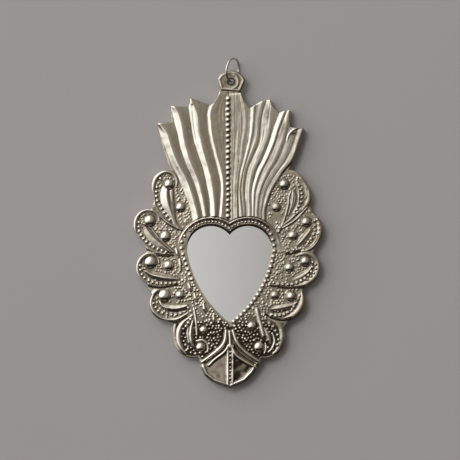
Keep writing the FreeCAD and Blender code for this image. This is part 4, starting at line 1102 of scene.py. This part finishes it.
dots = []
for foot, top, pitch, radii, heights in STIPPLE_ZONES:
    for row, z in enumerate(np.arange(foot, top, pitch * HONEYCOMB_ROW)):
        for x in np.arange(low_corner[0], high_corner[0], pitch) + (row % 2) * pitch / 2:
            spot = np.array((x, z)) + HAND.normal(0.0, STIPPLE_STRAY, 2)
            column, line = np.round((spot - low_corner) / GRID_STEP).astype(int)
            missed = HAND.uniform() < np.interp(z, *STIPPLE_MISSED)
            if missed or not (0 <= line < X.shape[0] and 0 <= column < X.shape[1]):
                continue
            in_plain = np.all((spot > PLAIN_GROUND[0]) & (spot < PLAIN_GROUND[1]))
            plain = in_plain and HAND.uniform() < PLAIN_SHARE
            free = room[line, column] > STIPPLE_CLEAR and tray[line, column] < -STIPPLE_EDGE
            if free and not plain:
                dots.append((*spot, HAND.uniform(*radii), HAND.uniform(*heights)))
ground = (room > 0.0) & (tray < -GROUND_EDGE) & (Z < GROUND_TOP)
# The ground is made darker towards the bottom.
np.maximum(dirt_and_shade, np.where(ground, np.interp(Z, *GROUND_DARKER_LOW), 0.0), out=dirt_and_shade)
for dot in dots:
    punch_dome(*dot)
print("stipple dots:", len(dots))

# %% [markdown]
# ## Edges and unevenness
# The snipped edge was turned back over a stake, so the sheet rolls off towards its
# outline. A worked sheet is never flat either, and slow waves with small dents on them
# break up reflections the way that real tin does. Both go into the mesh and not into a
# bump, so that they also show in the outline of a highlight from the side.

# %% Roll the edges
ROLL_OFF = 0.8
ROLL_DROP = 0.22
SLOW_WAVES = (0.05, 2.5)
SMALL_DENTS = (0.02, 0.8)

turn = np.clip(1.0 + np.minimum(tray, lug) / ROLL_OFF, 0.0, 1.0)
relief -= ROLL_DROP * turn ** 2
for height, scale in (SLOW_WAVES, SMALL_DENTS):
    relief += height * hammer_noise(scale)
on_sheet = sheet <= 0.0
print("lowest %.2f mm, highest %.2f mm" % (relief[on_sheet].min(), relief[on_sheet].max()))

# %% [markdown]
# ## Where dirt settles and shade is painted
# Dark tarnish sits in the creases and the crowns are rubbed bright. Both follow from the
# shape: a spot lower than its softened surroundings is a crease, a higher one a crown. A
# pointiness input in the shader would do the same, but only in one renderer and only as
# finely as the mesh. So both are worked out here and kept on the mesh as two attributes.
# The creases also take the painted shade of the dirt array and of the bevel over the lobes.

# %% Creases
FINE_CREASE = 0.7
BROAD_CREASE = 2.2
FINE_DARK = 1.1
BROAD_DARK = 0.25
FLAME_CREASE = 0.35
SPINE_HALF = 1.6
SPINE_FADE = 0.8
LIP_SHADE_GAIN = 2.0
CROWN_CLEAN = 2.0
OLD_BROWN = ((-20.0, 10.0, 24.0), (0.1, 0.18, 0.26))
OLD_BROWN_REACH = 5.0
LEAST_WEIGHT = 1e-3
DARK_FROM = 0.3


def masked_soften(field, radius):
    """A blur that leaves out what lies beyond the sheet."""
    weight = on_sheet.astype(float)
    return soften(field * weight, radius) / np.maximum(soften(weight, radius), LEAST_WEIGHT)


fine = masked_soften(relief, FINE_CREASE) - relief
broad = masked_soften(relief, BROAD_CREASE) - relief
crease = np.clip(FINE_DARK * fine + BROAD_DARK * broad, 0.0, 1.0)
away_from_spine = np.clip((np.abs(X - SPINE_X) - SPINE_HALF) / SPINE_FADE, 0.0, 1.0)
crease *= np.where(flame_mask, 1.0 - (1.0 - FLAME_CREASE) * away_from_spine, 1.0)
# Painted shade: the bevel over the lobes faces down and is darkened as the lip's shade.
painted_lip_shade = np.clip(LIP_SHADE_GAIN * over_lobes, 0.0, 1.0) * (heart < bevel_width)
remaining_dirt_and_shade = dirt_and_shade - np.clip(-CROWN_CLEAN * fine, 0.0, 1.0)
near_marks = (room > -OLD_BROWN_REACH) & (Z < GROUND_TOP) & ~flame_mask
for darkness in (painted_lip_shade, remaining_dirt_and_shade, np.interp(X, *OLD_BROWN) * near_marks):
    np.maximum(crease, darkness, out=crease)
print("creases cover %.0f%%" % (100 * np.mean(crease[on_sheet] > DARK_FROM)))

# %% [markdown]
# Hands and cloths polish what stands out: crowns and domes. The narrow sides of the
# flames face the light at the left, and they are lightened as a painted highlight, most on
# the left flames. The right-hand flames are rubbed evenly, and more so away from the spine,
# and the crowns on the right of the heart keep more of their film.

# %% Crowns
FINE_RUB = 1.2
BROAD_RUB = 0.6
RUB_FADES = ((0.0, 20.0), (1.0, 0.25))
STRIP_SOFTNESS = 0.3
STRIP_GAIN = 4.0
STRIP_FROM = {"left": 0.6, "right": 1.1}
STRIP_PAINTED_HIGHLIGHT = 0.36
RIGHT_RUB = ((2.0, 10.0), (0.06, 0.3))
RUBBED_FROM = 0.2

crowns = np.clip(-FINE_RUB * fine - BROAD_RUB * broad, 0.0, 1.0) * np.interp(X, *RUB_FADES)
lean_left = soften(np.gradient(folds, GRID_STEP, axis=1), STRIP_SOFTNESS)
strip_from = np.where(X < SPINE_X, STRIP_FROM["left"], STRIP_FROM["right"])
# Painted highlight: the fold sides that face the light at the left become lighter, cleaner metal.
highlight_and_rub_strips = np.clip(STRIP_GAIN * lean_left - strip_from, 0.0, STRIP_PAINTED_HIGHLIGHT)
highlight_and_rub_strips = np.maximum(highlight_and_rub_strips, np.where(X > SPINE_X, np.interp(X, *RIGHT_RUB), 0.0)) * flame_mask
rub_and_painted_highlight = np.maximum(np.maximum(crowns, highlight_and_rub_strips), shine_and_painted_highlight)
print("rubbed over %.0f%%" % (100 * np.mean(rub_and_painted_highlight[on_sheet] > RUBBED_FROM)))

# %% [markdown]
# ## From height map to mesh
# On the real sheet the rim is turned back at its edge. Cells of the grid that lie wholly
# on the sheet become four-sided faces, and a cell that the outline crosses is cut on it.
# A Boolean modifier could trim a larger sheet, but it is slow on a mesh as fine as this
# and loses track of the edge. Here each cut edge is known for the walls that follow.

# %% Cut the sheet
MIN_CUT = 0.06
WALL_CREASE = 0.25
EDGE_RUB = 0.3
CORNERS = ((0, 0), (0, 1), (1, 1), (1, 0))


def cut_sheet():
    """Points (x, depth in front of the wall, z), faces, marks of the points, and the cuts.

    The marks are crease and crown. The cuts come as points on the outline, each with the
    grid spot outside it, and as edges between two such points.
    """
    inside = on_sheet
    number = np.full(X.shape, -1)
    number[inside] = np.arange(inside.sum())
    points = list(zip(X[inside], SHEET_DEPTH + relief[inside], Z[inside]))
    marks = list(zip(crease[inside], rub_and_painted_highlight[inside]))
    whole = inside[:-1, :-1] & inside[:-1, 1:] & inside[1:, 1:] & inside[1:, :-1]
    some = inside[:-1, :-1] | inside[:-1, 1:] | inside[1:, 1:] | inside[1:, :-1]
    rows, columns = np.nonzero(whole)
    faces = np.column_stack([number[rows + dr, columns + dc] for dr, dc in CORNERS]).tolist()
    cuts = {}

    def cut_point(a, b):
        key = (min(a, b), max(a, b))
        if key not in cuts:
            da, db = sheet[key[0]], sheet[key[1]]
            share = np.clip(da / (da - db), MIN_CUT, 1.0 - MIN_CUT)
            ends = np.array([(X[k], SHEET_DEPTH + relief[k], Z[k]) for k in key])
            points.append(tuple(ends[0] + share * (ends[1] - ends[0])))
            marks.append((WALL_CREASE, EDGE_RUB))
            cuts[key] = (len(points) - 1, key[0] if da > 0 else key[1])
        return cuts[key][0]

    cut_edges = []
    for row, column in zip(*np.nonzero(some & ~whole)):
        corners = [(row + dr, column + dc) for dr, dc in CORNERS]
        face, fresh = [], []
        for a, b in zip(corners, corners[1:] + corners[:1]):
            if inside[a]:
                face.append(number[a])
            if inside[a] != inside[b]:
                face.append(cut_point(a, b))
                fresh.append((face[-1], inside[a]))
        faces.append(face)
        for (first, leaving), (second, _) in zip(fresh, fresh[1:] + fresh[:1]):
            if leaving:
                cut_edges.append((first, second))
    return points, faces, marks, cuts, cut_edges


points, faces, marks, cuts, cut_edges = cut_sheet()
print("sheet: %d points, %d faces, %d cut edges" % (len(points), len(faces), len(cut_edges)))

# %% [markdown]
# Each cut edge gets a wall down to the depth where the frame's solid has its rear: deep
# at the outer rim, shallow round the glass and the lug. A Solidify modifier would give
# one thickness everywhere. A first short step keeps the smooth shading near the edge.

# %% Drop the walls
TURN_DEPTH = 0.3
STEP_SHARE = 0.5


def rear_depth(row, column):
    """Depth of the frame's rear edge at a cut point."""
    gaps = {
        0.0: abs(tray[row, column]),
        SEAT_DEPTH: abs(heart[row, column]),
        LUG_REAR_DEPTH: min(abs(lug[row, column]), abs(hole[row, column])),
    }
    return min(gaps, key=gaps.get)


def drop_walls():
    """Two faces below each cut edge: a short turn and the rest of the way."""
    below = {}
    for index, spot in cuts.values():
        x, depth, z = points[index]
        rear = rear_depth(*spot)
        step = min(TURN_DEPTH, STEP_SHARE * (depth - rear))
        below[index] = (len(points), len(points) + 1)
        points.extend([(x, depth - step, z), (x, rear, z)])
        marks.extend([(WALL_CREASE, 0.0), (WALL_CREASE, 0.0)])
    for first, second in cut_edges:
        (a1, a2), (b1, b2) = below[first], below[second]
        faces.append([second, first, a1, b1])
        faces.append([b1, a1, a2, b2])


drop_walls()
front_count = len(faces)
print("with walls: %d points, %d faces" % (len(points), front_count))

# %% [markdown]
# The rear of the sheet is never seen from the front, so it keeps the frame's own flat
# faces. With them the piece becomes one mesh object, which rides on the swinging body,
# takes the place of the frame's front and carries the two attributes for its finish.
# Walls and relief are shaded smooth, and the flat rear is not.

# %% Rear faces and the finished front
def add_rear(points, faces, marks):
    """The frame's flat rear faces, which the sheet keeps."""
    behind = np.all(cad_points[cad_triangles, 1] > -SEAT_DEPTH - FLAT_TOLERANCE, axis=1)
    used, index = np.unique(cad_triangles[behind], return_inverse=True)
    faces.extend((index.reshape(-1, 3) + len(points)).tolist())
    points.extend((x, -y, z) for x, y, z in cad_points[used])
    marks.extend([(WALL_CREASE, 0.0)] * len(used))


add_rear(points, faces, marks)
front_mesh = bpy.data.meshes.new("pressed_front")
front_mesh.from_pydata([(x * MM, -depth * MM, z * MM) for x, depth, z in points], [], faces)
# The crease attribute holds tarnish, dirt and painted shade. The crown attribute holds rubbing and painted
# highlights.
for title, column in (("crease", 0), ("crown", 1)):
    layer = front_mesh.attributes.new(title, "FLOAT", "POINT")
    layer.data.foreach_set("value", np.array(marks, dtype=np.float32)[:, column].copy())
smooth = np.arange(len(front_mesh.polygons)) < front_count
front_mesh.polygons.foreach_set("use_smooth", smooth)
front_mesh.update()
front = bpy.data.objects.new("pressed_front", front_mesh)
bpy.context.scene.collection.objects.link(front)
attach(front, "mirror")
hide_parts("embossed_front")
print("pressed front: %d points, %d faces" % (len(points), len(faces)))

# %% [markdown]
# ## Helpers for finishes
# A finish in Blender is a graph of nodes. The same few nodes come back in every finish
# here: a noise, a change of range, a sum and a mix of two colours. Short helpers that add
# one node, link it and hand back its output keep the graphs below easy to read.

# %% Node helpers
def add_node(tree, kind, **values):
    """A new node; a value named in_Something sets that input."""
    node = tree.nodes.new(kind)
    for key, value in values.items():
        if key.startswith("in_"):
            node.inputs[key[3:].replace("_", " ")].default_value = value
        else:
            setattr(node, key, value)
    return node


def join(tree, source, target):
    tree.links.new(source, target)


def map_range(tree, value, low, high, to_low, to_high):
    """The value's share of the way from low to high, laid out from to_low to to_high."""
    node = add_node(tree, "ShaderNodeMapRange")
    for index, number in enumerate((low, high, to_low, to_high), start=1):
        node.inputs[index].default_value = number
    join(tree, value, node.inputs[0])
    return node.outputs[0]


def math_node(tree, operation, *values):
    """A sum, product or the like of numbers and outputs of other nodes."""
    node = add_node(tree, "ShaderNodeMath", operation=operation)
    for index, value in enumerate(values):
        if isinstance(value, (int, float)):
            node.inputs[index].default_value = value
        else:
            join(tree, value, node.inputs[index])
    return node.outputs[0]


def mix_colour(tree, share, first, second):
    """From the first colour to the second; each is three numbers or an output."""
    node = add_node(tree, "ShaderNodeMix", data_type="RGBA")
    join(tree, share, node.inputs[0])
    for index, value in ((6, first), (7, second)):
        if isinstance(value, tuple):
            node.inputs[index].default_value = (*value, 1.0)
        else:
            join(tree, value, node.inputs[index])
    return node.outputs[2]


def noise(tree, vector, scale, detail=3.0):
    node = add_node(tree, "ShaderNodeTexNoise", in_Scale=scale, in_Detail=detail)
    join(tree, vector, node.inputs["Vector"])
    return node.outputs["Fac"]


def object_place(tree):
    return add_node(tree, "ShaderNodeTexCoord").outputs["Object"]


print("node helpers ready")

# %% [markdown]
# ## Ageing shared by the metals
# All the metal here has aged in one way: brown tarnish in creases, patches of dull film,
# and fine rubbing marks. On the front, the tarnish colour also paints shade and the rubbing
# also paints highlights. Each metal could have its own graph, but then a change would
# have to be made five times. So it is one node group with its own values for each metal.
# It puts out a colour, a roughness and a height, and the shader stays in each material.

# %% Aged metal group
BLOOM_SCALE = 160.0
PATCH_SCALE = 420.0
GRAIN_SCALE = 2600.0
RUBBING_SCALE = (2400.0, 2400.0, 260.0)
FINE_DETAIL = 2.0
NOISE_SPREAD = (0.3, 0.7)
PATCHY_DIRT = 0.12
DIRT_SHOWS = (0.15, 0.75)
RUB_CLEARS = (0.05, 0.45)
RUB_CLEARED = 0.8
FILM_CLOUDS = (0.35, 0.75, 0.75, 1.0)
FILM_ROUGHENS = 0.18
PATCH_ROUGHENS = (-0.03, 0.05)
DIRT_ROUGHENS = 0.25
RUBBING_SHARE = 0.5
GROUP_INPUTS = (
    ("Metal", "NodeSocketColor", (0.6, 0.57, 0.52, 1.0)),
    ("Film", "NodeSocketColor", (0.42, 0.37, 0.3, 1.0)),
    ("Tarnish_and_shade", "NodeSocketColor", (0.05, 0.04, 0.028, 1.0)),
    ("Crease", "NodeSocketFloat", 0.1),
    ("Rub_and_highlight", "NodeSocketFloat", 0.2),
    ("Polish", "NodeSocketFloat", 0.3),
)
GROUP_OUTPUTS = (
    ("Color", "NodeSocketColor"),
    ("Roughness", "NodeSocketFloat"),
    ("Height", "NodeSocketFloat"),
)


def aged_metal_group():
    """Dirt and painted shade darken, film dulls, and rubbing and painted highlights take the film off again.
    """
    tree = bpy.data.node_groups.new("aged_metal", "ShaderNodeTree")
    for title, kind, start in GROUP_INPUTS:
        socket = tree.interface.new_socket(title, in_out="INPUT", socket_type=kind)
        socket.default_value = start
    for title, kind in GROUP_OUTPUTS:
        tree.interface.new_socket(title, in_out="OUTPUT", socket_type=kind)
    given = add_node(tree, "NodeGroupInput").outputs
    result = add_node(tree, "NodeGroupOutput").inputs
    place = object_place(tree)
    bloom = noise(tree, place, BLOOM_SCALE)
    patch = noise(tree, place, PATCH_SCALE)
    grain = noise(tree, place, GRAIN_SCALE, FINE_DETAIL)
    stretched = add_node(tree, "ShaderNodeMapping", in_Scale=RUBBING_SCALE)
    join(tree, place, stretched.inputs["Vector"])
    rubbing = noise(tree, stretched.outputs[0], 1.0, FINE_DETAIL)
    unevenness = map_range(tree, patch, *NOISE_SPREAD, -PATCHY_DIRT, PATCHY_DIRT)
    darkness = math_node(tree, "ADD", given["Crease"], unevenness)
    darkness = map_range(tree, darkness, *DIRT_SHOWS, 0.0, 1.0)
    # The rub input also carries painted highlights, which this share lightens like worn metal.
    worn = map_range(tree, given["Rub_and_highlight"], *RUB_CLEARS, 0.0, RUB_CLEARED)
    film = math_node(tree, "SUBTRACT", map_range(tree, bloom, *FILM_CLOUDS), worn)
    dulled = mix_colour(tree, film, given["Metal"], given["Film"])
    rough = math_node(tree, "MULTIPLY_ADD", film, FILM_ROUGHENS, given["Polish"])
    rough = math_node(tree, "ADD", rough, map_range(tree, patch, *NOISE_SPREAD, *PATCH_ROUGHENS))
    rough = math_node(tree, "MULTIPLY_ADD", darkness, DIRT_ROUGHENS, rough)
    join(tree, mix_colour(tree, darkness, dulled, given["Tarnish_and_shade"]), result["Color"])
    join(tree, rough, result["Roughness"])
    join(tree, math_node(tree, "MULTIPLY_ADD", rubbing, RUBBING_SHARE, grain), result["Height"])
    return tree


aged_metal = aged_metal_group()
print("group:", aged_metal.name, "with", len(aged_metal.nodes), "nodes")

# %% [markdown]
# ## The metals
# The front is old tin with a brown film, the plate and the clips are greyer tin that was
# never polished, the wire is brighter and the solder dull. Each places the group with its
# own colours and polish. The front reads creases and crowns from its mesh, and the plain
# pieces, which have no relief, take one steady value of each.

# %% Metals
BUMP_DEPTH = 0.0002
BRIGHT_TIN = (0.69, 0.65, 0.585)
BROWN_FILM = (0.44, 0.385, 0.305)
BROWN_TARNISH_AND_SHADE = (0.04, 0.03, 0.019)
GREY_TIN = (0.56, 0.55, 0.53)
GREY_FILM = (0.44, 0.43, 0.41)
GREY_TARNISH = (0.16, 0.15, 0.14)
LEAD_GREY = (0.5, 0.5, 0.5)
WIRE_BRIGHT = (0.58, 0.562, 0.525)
# On the front, crease brings tarnish and painted shade, and crown brings rubbing and painted highlights.
METALS = {
    "embossed_tin": ((BRIGHT_TIN, BROWN_FILM, BROWN_TARNISH_AND_SHADE), ("crease", "crown", 0.09), 0.1),
    "plain_tin": ((GREY_TIN, GREY_FILM, GREY_TARNISH), (0.2, 0.2, 0.3), 0.3),
    "ring_wire": ((WIRE_BRIGHT, GREY_FILM, BROWN_TARNISH_AND_SHADE), (0.04, 0.7, 0.3), 0.1),
    "clip_tin": ((GREY_TIN, GREY_FILM, GREY_TARNISH), (0.1, 0.25, 0.3), 0.3),
    "solder": ((LEAD_GREY, GREY_FILM, GREY_TARNISH), (0.15, 0.1, 0.4), 0.4),
}


def new_material(name):
    material = bpy.data.materials.new(name)
    material.use_nodes = True
    tree = material.node_tree
    return material, tree, tree.nodes["Principled BSDF"]


def add_bump(tree, shader, height, strength):
    bumps = add_node(tree, "ShaderNodeBump", in_Strength=strength, in_Distance=BUMP_DEPTH)
    join(tree, height, bumps.inputs["Height"])
    join(tree, bumps.outputs["Normal"], shader.inputs["Normal"])


def metal_material(name, colours, wear, bump):
    """The aged metal group with three colours and three amounts; a word names an attribute."""
    material, tree, shader = new_material(name)
    group = add_node(tree, "ShaderNodeGroup", node_tree=aged_metal)
    for title, colour in zip(("Metal", "Film", "Tarnish_and_shade"), colours):
        group.inputs[title].default_value = (*colour, 1.0)
    for title, value in zip(("Crease", "Rub_and_highlight", "Polish"), wear):
        if isinstance(value, str):
            mark = add_node(tree, "ShaderNodeAttribute", attribute_name=value)
            join(tree, mark.outputs["Fac"], group.inputs[title])
        else:
            group.inputs[title].default_value = value
    add_bump(tree, shader, group.outputs["Height"], bump)
    join(tree, group.outputs["Color"], shader.inputs["Base Color"])
    join(tree, group.outputs["Roughness"], shader.inputs["Roughness"])
    shader.inputs["Metallic"].default_value = 1.0
    return material


finishes = {name: metal_material(name, *values) for name, values in METALS.items()}
print("metals:", ", ".join(finishes))

# %% [markdown]
# ## Looking glass and card
# The silvering makes the glass a plain mirror, with only a breath of haze on it, so it is
# a smooth metal and needs no see-through layer in front. The card behind it is grey-brown
# pulp with clouds, flecks and fibres, all from two noises.

# %% Glass and card
HAZE_SCALE = 60.0
HAZE_DETAIL = 4.0
HAZE_ROUGHENS = (0.3, 0.75, 0.02, 0.07)
GLASS_COOL = (0.86, 0.87, 0.86)
GLASS_WARM = (0.9, 0.9, 0.885)
CARD_CLOUD_SCALE = 200.0
CARD_FIBRE_SCALE = 1800.0
CARD_FIBRE_DETAIL = 5.0
CARD_FIBRES = (0.55, 0.75, 0.0, 0.6)
CARD_BUMP = 0.4
CARD_ROUGHNESS = 0.9
PULP_DARK = (0.3, 0.26, 0.2)
PULP_LIGHT = (0.4, 0.35, 0.28)
FLECK_BROWN = (0.16, 0.13, 0.1)


def looking_glass():
    material, tree, shader = new_material("looking_glass")
    haze = noise(tree, object_place(tree), HAZE_SCALE, HAZE_DETAIL)
    join(tree, map_range(tree, haze, *HAZE_ROUGHENS), shader.inputs["Roughness"])
    join(tree, mix_colour(tree, haze, GLASS_COOL, GLASS_WARM), shader.inputs["Base Color"])
    shader.inputs["Metallic"].default_value = 1.0
    return material


def grey_card():
    material, tree, shader = new_material("grey_card")
    place = object_place(tree)
    fibres = noise(tree, place, CARD_FIBRE_SCALE, CARD_FIBRE_DETAIL)
    clouds = map_range(tree, noise(tree, place, CARD_CLOUD_SCALE), *NOISE_SPREAD, 0.0, 1.0)
    pulp = mix_colour(tree, clouds, PULP_DARK, PULP_LIGHT)
    colour = mix_colour(tree, map_range(tree, fibres, *CARD_FIBRES), pulp, FLECK_BROWN)
    add_bump(tree, shader, fibres, CARD_BUMP)
    join(tree, colour, shader.inputs["Base Color"])
    shader.inputs["Roughness"].default_value = CARD_ROUGHNESS
    return material


finishes["looking_glass"] = looking_glass()
finishes["card"] = grey_card()
print("finishes:", len(finishes))

# %% [markdown]
# ## Dressing the pieces
# The frame's own pieces keep their shape and get only a finish. Numbered pieces of one
# kind, such as the clips and the solder tacks, share one. A list of all the names would
# have to follow every change in the frame, so a piece is looked up by the start of its
# name.

# %% Dress the pieces
NODE_FINISH = {
    "mirror_glass": "looking_glass",
    "backing_card": "card",
    "back_plate": "plain_tin",
    "hanging_ring": "ring_wire",
    "mirror_clip": "clip_tin",
    "clip_solder": "solder",
    "rim_tack": "solder",
}


def dress(thing, slot):
    thing.data.materials.clear()
    thing.data.materials.append(finishes[slot])


dress(front, "embossed_tin")
for name, thing in nodes.items():
    kind = next((key for key in NODE_FINISH if name.startswith(key)), None)
    dress(thing, NODE_FINISH[kind] if kind else "embossed_tin")
print("finishes given to", len(nodes) + 1, "pieces")

# %% [markdown]
# ## The wall
# The mirror hangs on a plain grey wall, which is one large face just behind the back
# plate. It shows from the front only, so that the back of the mirror can be looked at
# too, and it takes the mirror's shadow but stays out of the metal's reflections.

# %% Wall
WALL_GAP = 0.3
WALL_HALF = 3000.0
WALL_COLOUR = (0.3, 0.287, 0.285)
WALL_MOTTLE = 0.015
WALL_MOTTLE_SCALE = 12.0
WALL_ROUGHNESS = 0.95


def wall_material():
    material, tree, shader = new_material("grey_wall")
    mottle = noise(tree, object_place(tree), WALL_MOTTLE_SCALE)
    low = tuple((1.0 - WALL_MOTTLE) * part for part in WALL_COLOUR)
    high = tuple((1.0 + WALL_MOTTLE) * part for part in WALL_COLOUR)
    join(tree, mix_colour(tree, mottle, low, high), shader.inputs["Base Color"])
    shader.inputs["Roughness"].default_value = WALL_ROUGHNESS
    shader.inputs["Specular IOR Level"].default_value = 0.0
    behind = add_node(tree, "ShaderNodeNewGeometry").outputs["Backfacing"]
    clear = add_node(tree, "ShaderNodeBsdfTransparent")
    either = add_node(tree, "ShaderNodeMixShader")
    join(tree, behind, either.inputs[0])
    join(tree, shader.outputs[0], either.inputs[1])
    join(tree, clear.outputs[0], either.inputs[2])
    join(tree, either.outputs[0], tree.nodes["Material Output"].inputs["Surface"])
    return material


half, gap = WALL_HALF * MM, WALL_GAP * MM
wall_corners = [(-half, gap, -half), (half, gap, -half), (half, gap, half), (-half, gap, half)]
wall_mesh = bpy.data.meshes.new("wall")
wall_mesh.from_pydata(wall_corners, [], [(0, 1, 2, 3)])
wall = bpy.data.objects.new("wall", wall_mesh)
bpy.context.scene.collection.objects.link(wall)
wall_mesh.materials.append(wall_material())
wall.visible_shadow = wall.visible_diffuse = wall.visible_glossy = False
print("wall %.1f mm behind the back plate" % WALL_GAP)

# %% [markdown]
# ## The studio
# Metal shows what is around it, so its look comes from the world more than from lamps. A
# world picture would need a file, and area lamps would show their edges. So the world is
# a ramp by direction: brightest towards a large window at the upper left, and dimmer the
# farther a direction turns away from it.

# %% Studio ramp
WINDOW_FROM = (-0.745, -0.453, 0.489)
STUDIO_STEPS = (
    (0.0, (0.06, 0.052, 0.042)),
    (0.25, (0.12, 0.107, 0.087)),
    (0.36, (0.2, 0.18, 0.15)),
    (0.43, (0.27, 0.245, 0.205)),
    (0.5, (0.35, 0.323, 0.28)),
    (0.72, (0.43, 0.406, 0.36)),
    (0.78, (0.78, 0.757, 0.705)),
    (0.83, (1.25, 1.235, 1.19)),
    (0.9, (1.75, 1.75, 1.73)),
    (1.0, (2.3, 2.3, 2.3)),
)


def towards(tree, place, direction):
    """How far each direction of the world looks towards one of them, from -1 to 1."""
    node = add_node(tree, "ShaderNodeVectorMath", operation="DOT_PRODUCT")
    node.inputs[1].default_value = direction
    join(tree, place, node.inputs[0])
    return node.outputs["Value"]


def studio_ramp(tree, facing):
    """The brightness of the studio by how far it looks towards the window."""
    ramp = add_node(tree, "ShaderNodeValToRGB")
    steps = ramp.color_ramp.elements
    while len(steps) < len(STUDIO_STEPS):
        steps.new(0.5)
    for step, (place_on, colour) in zip(steps, STUDIO_STEPS):
        step.position = place_on
        step.color = (*colour, 1.0)
    join(tree, map_range(tree, facing, -1.0, 1.0, 0.0, 1.0), ramp.inputs["Fac"])
    return ramp.outputs["Color"]


print("studio ramp of", len(STUDIO_STEPS), "steps")

# %% [markdown]
# Over the ramp lie a dark floor with a lighter part straight below, a small bright lamp,
# and a grey panel straight ahead, which the glass shows. Behind the wall a plain fill
# lights the back of the mirror. The camera itself sees only a plain backdrop.

# %% Studio world
FLOOR_DARK = (0.02, 0.018, 0.015)
FLOOR_EDGES = (-0.6, -0.2)
FLOOR_BELOW = (0.2, 0.188, 0.168)
FLOOR_BELOW_EDGES = (-0.96, -0.89)
LAMP_FROM = (-0.42, -0.8, 0.43)
LAMP_EDGES = (0.955, 0.985)
LAMP_BRIGHT = (2.2, 2.2, 2.15)
PANEL_EDGES = (0.9877, 0.9975)
PANEL_SIDES = (-0.03, 0.03)
PANEL_BRIGHT = (0.685, 0.673, 0.652)
PANEL_DIM = (0.375, 0.368, 0.348)
BACK_LOW = (0.33, 0.32, 0.3)
BACK_HIGH = (0.5, 0.49, 0.465)
BACK_LEVELS = (-0.16, 0.16)
BACK_EDGES = (0.15, 0.6)
BACKDROP_SEEN = (0.287, 0.275, 0.262)


def studio_world():
    """Ramp, floor, lamp, panel and back fill, one laid over the other."""
    world = bpy.data.worlds.new("soft_studio")
    world.use_nodes = True
    tree = world.node_tree
    place = add_node(tree, "ShaderNodeTexCoord").outputs["Generated"]
    apart = add_node(tree, "ShaderNodeSeparateXYZ")
    join(tree, place, apart.inputs[0])
    sideways, backward, upright = apart.outputs

    def share(value, edges):
        return map_range(tree, value, *edges, 0.0, 1.0)

    floor = mix_colour(tree, share(upright, FLOOR_BELOW_EDGES), FLOOR_BELOW, FLOOR_DARK)
    ramp = studio_ramp(tree, towards(tree, place, WINDOW_FROM))
    around = mix_colour(tree, share(upright, FLOOR_EDGES), floor, ramp)
    on_lamp = share(towards(tree, place, LAMP_FROM), LAMP_EDGES)
    around = mix_colour(tree, on_lamp, around, LAMP_BRIGHT)
    panel = mix_colour(tree, share(sideways, PANEL_SIDES), PANEL_BRIGHT, PANEL_DIM)
    ahead = math_node(tree, "MULTIPLY", backward, -1.0)
    around = mix_colour(tree, share(ahead, PANEL_EDGES), around, panel)
    fill = mix_colour(tree, share(upright, BACK_LEVELS), BACK_LOW, BACK_HIGH)
    around = mix_colour(tree, share(backward, BACK_EDGES), around, fill)
    seen = add_node(tree, "ShaderNodeLightPath").outputs["Is Camera Ray"]
    backdrop = mix_colour(tree, seen, around, BACKDROP_SEEN)
    join(tree, backdrop, tree.nodes["Background"].inputs["Color"])
    return world


bpy.context.scene.world = studio_world()
print("world:", bpy.context.scene.world.name)

# %% [markdown]
# The wall is matt and shows no reflections, so it gets a real lamp: a soft square one at
# the upper left, which also throws the mirror's shadow to the lower right. It is kept out
# of the metal's reflections, where the world already has its lamp.

# %% Key lamp
KEY_FROM = (-0.34, -0.87, 0.36)
KEY_POWER = 9.3
KEY_SIZE = 0.5
KEY_DISTANCE = 1.7

key_data = bpy.data.lights.new("soft_key", "AREA")
key_data.energy = KEY_POWER
key_data.size = KEY_SIZE
key = bpy.data.objects.new("soft_key", key_data)
key.location = [KEY_DISTANCE * part for part in KEY_FROM]
key.rotation_mode = "QUATERNION"
key.rotation_quaternion = key.location.to_track_quat("Z", "Y")
key.visible_glossy = False
bpy.context.scene.collection.objects.link(key)
bpy.context.scene.view_settings.view_transform = "Standard"
print("key lamp of %.1f W" % KEY_POWER)

# %% End of the scene
print("scene done")
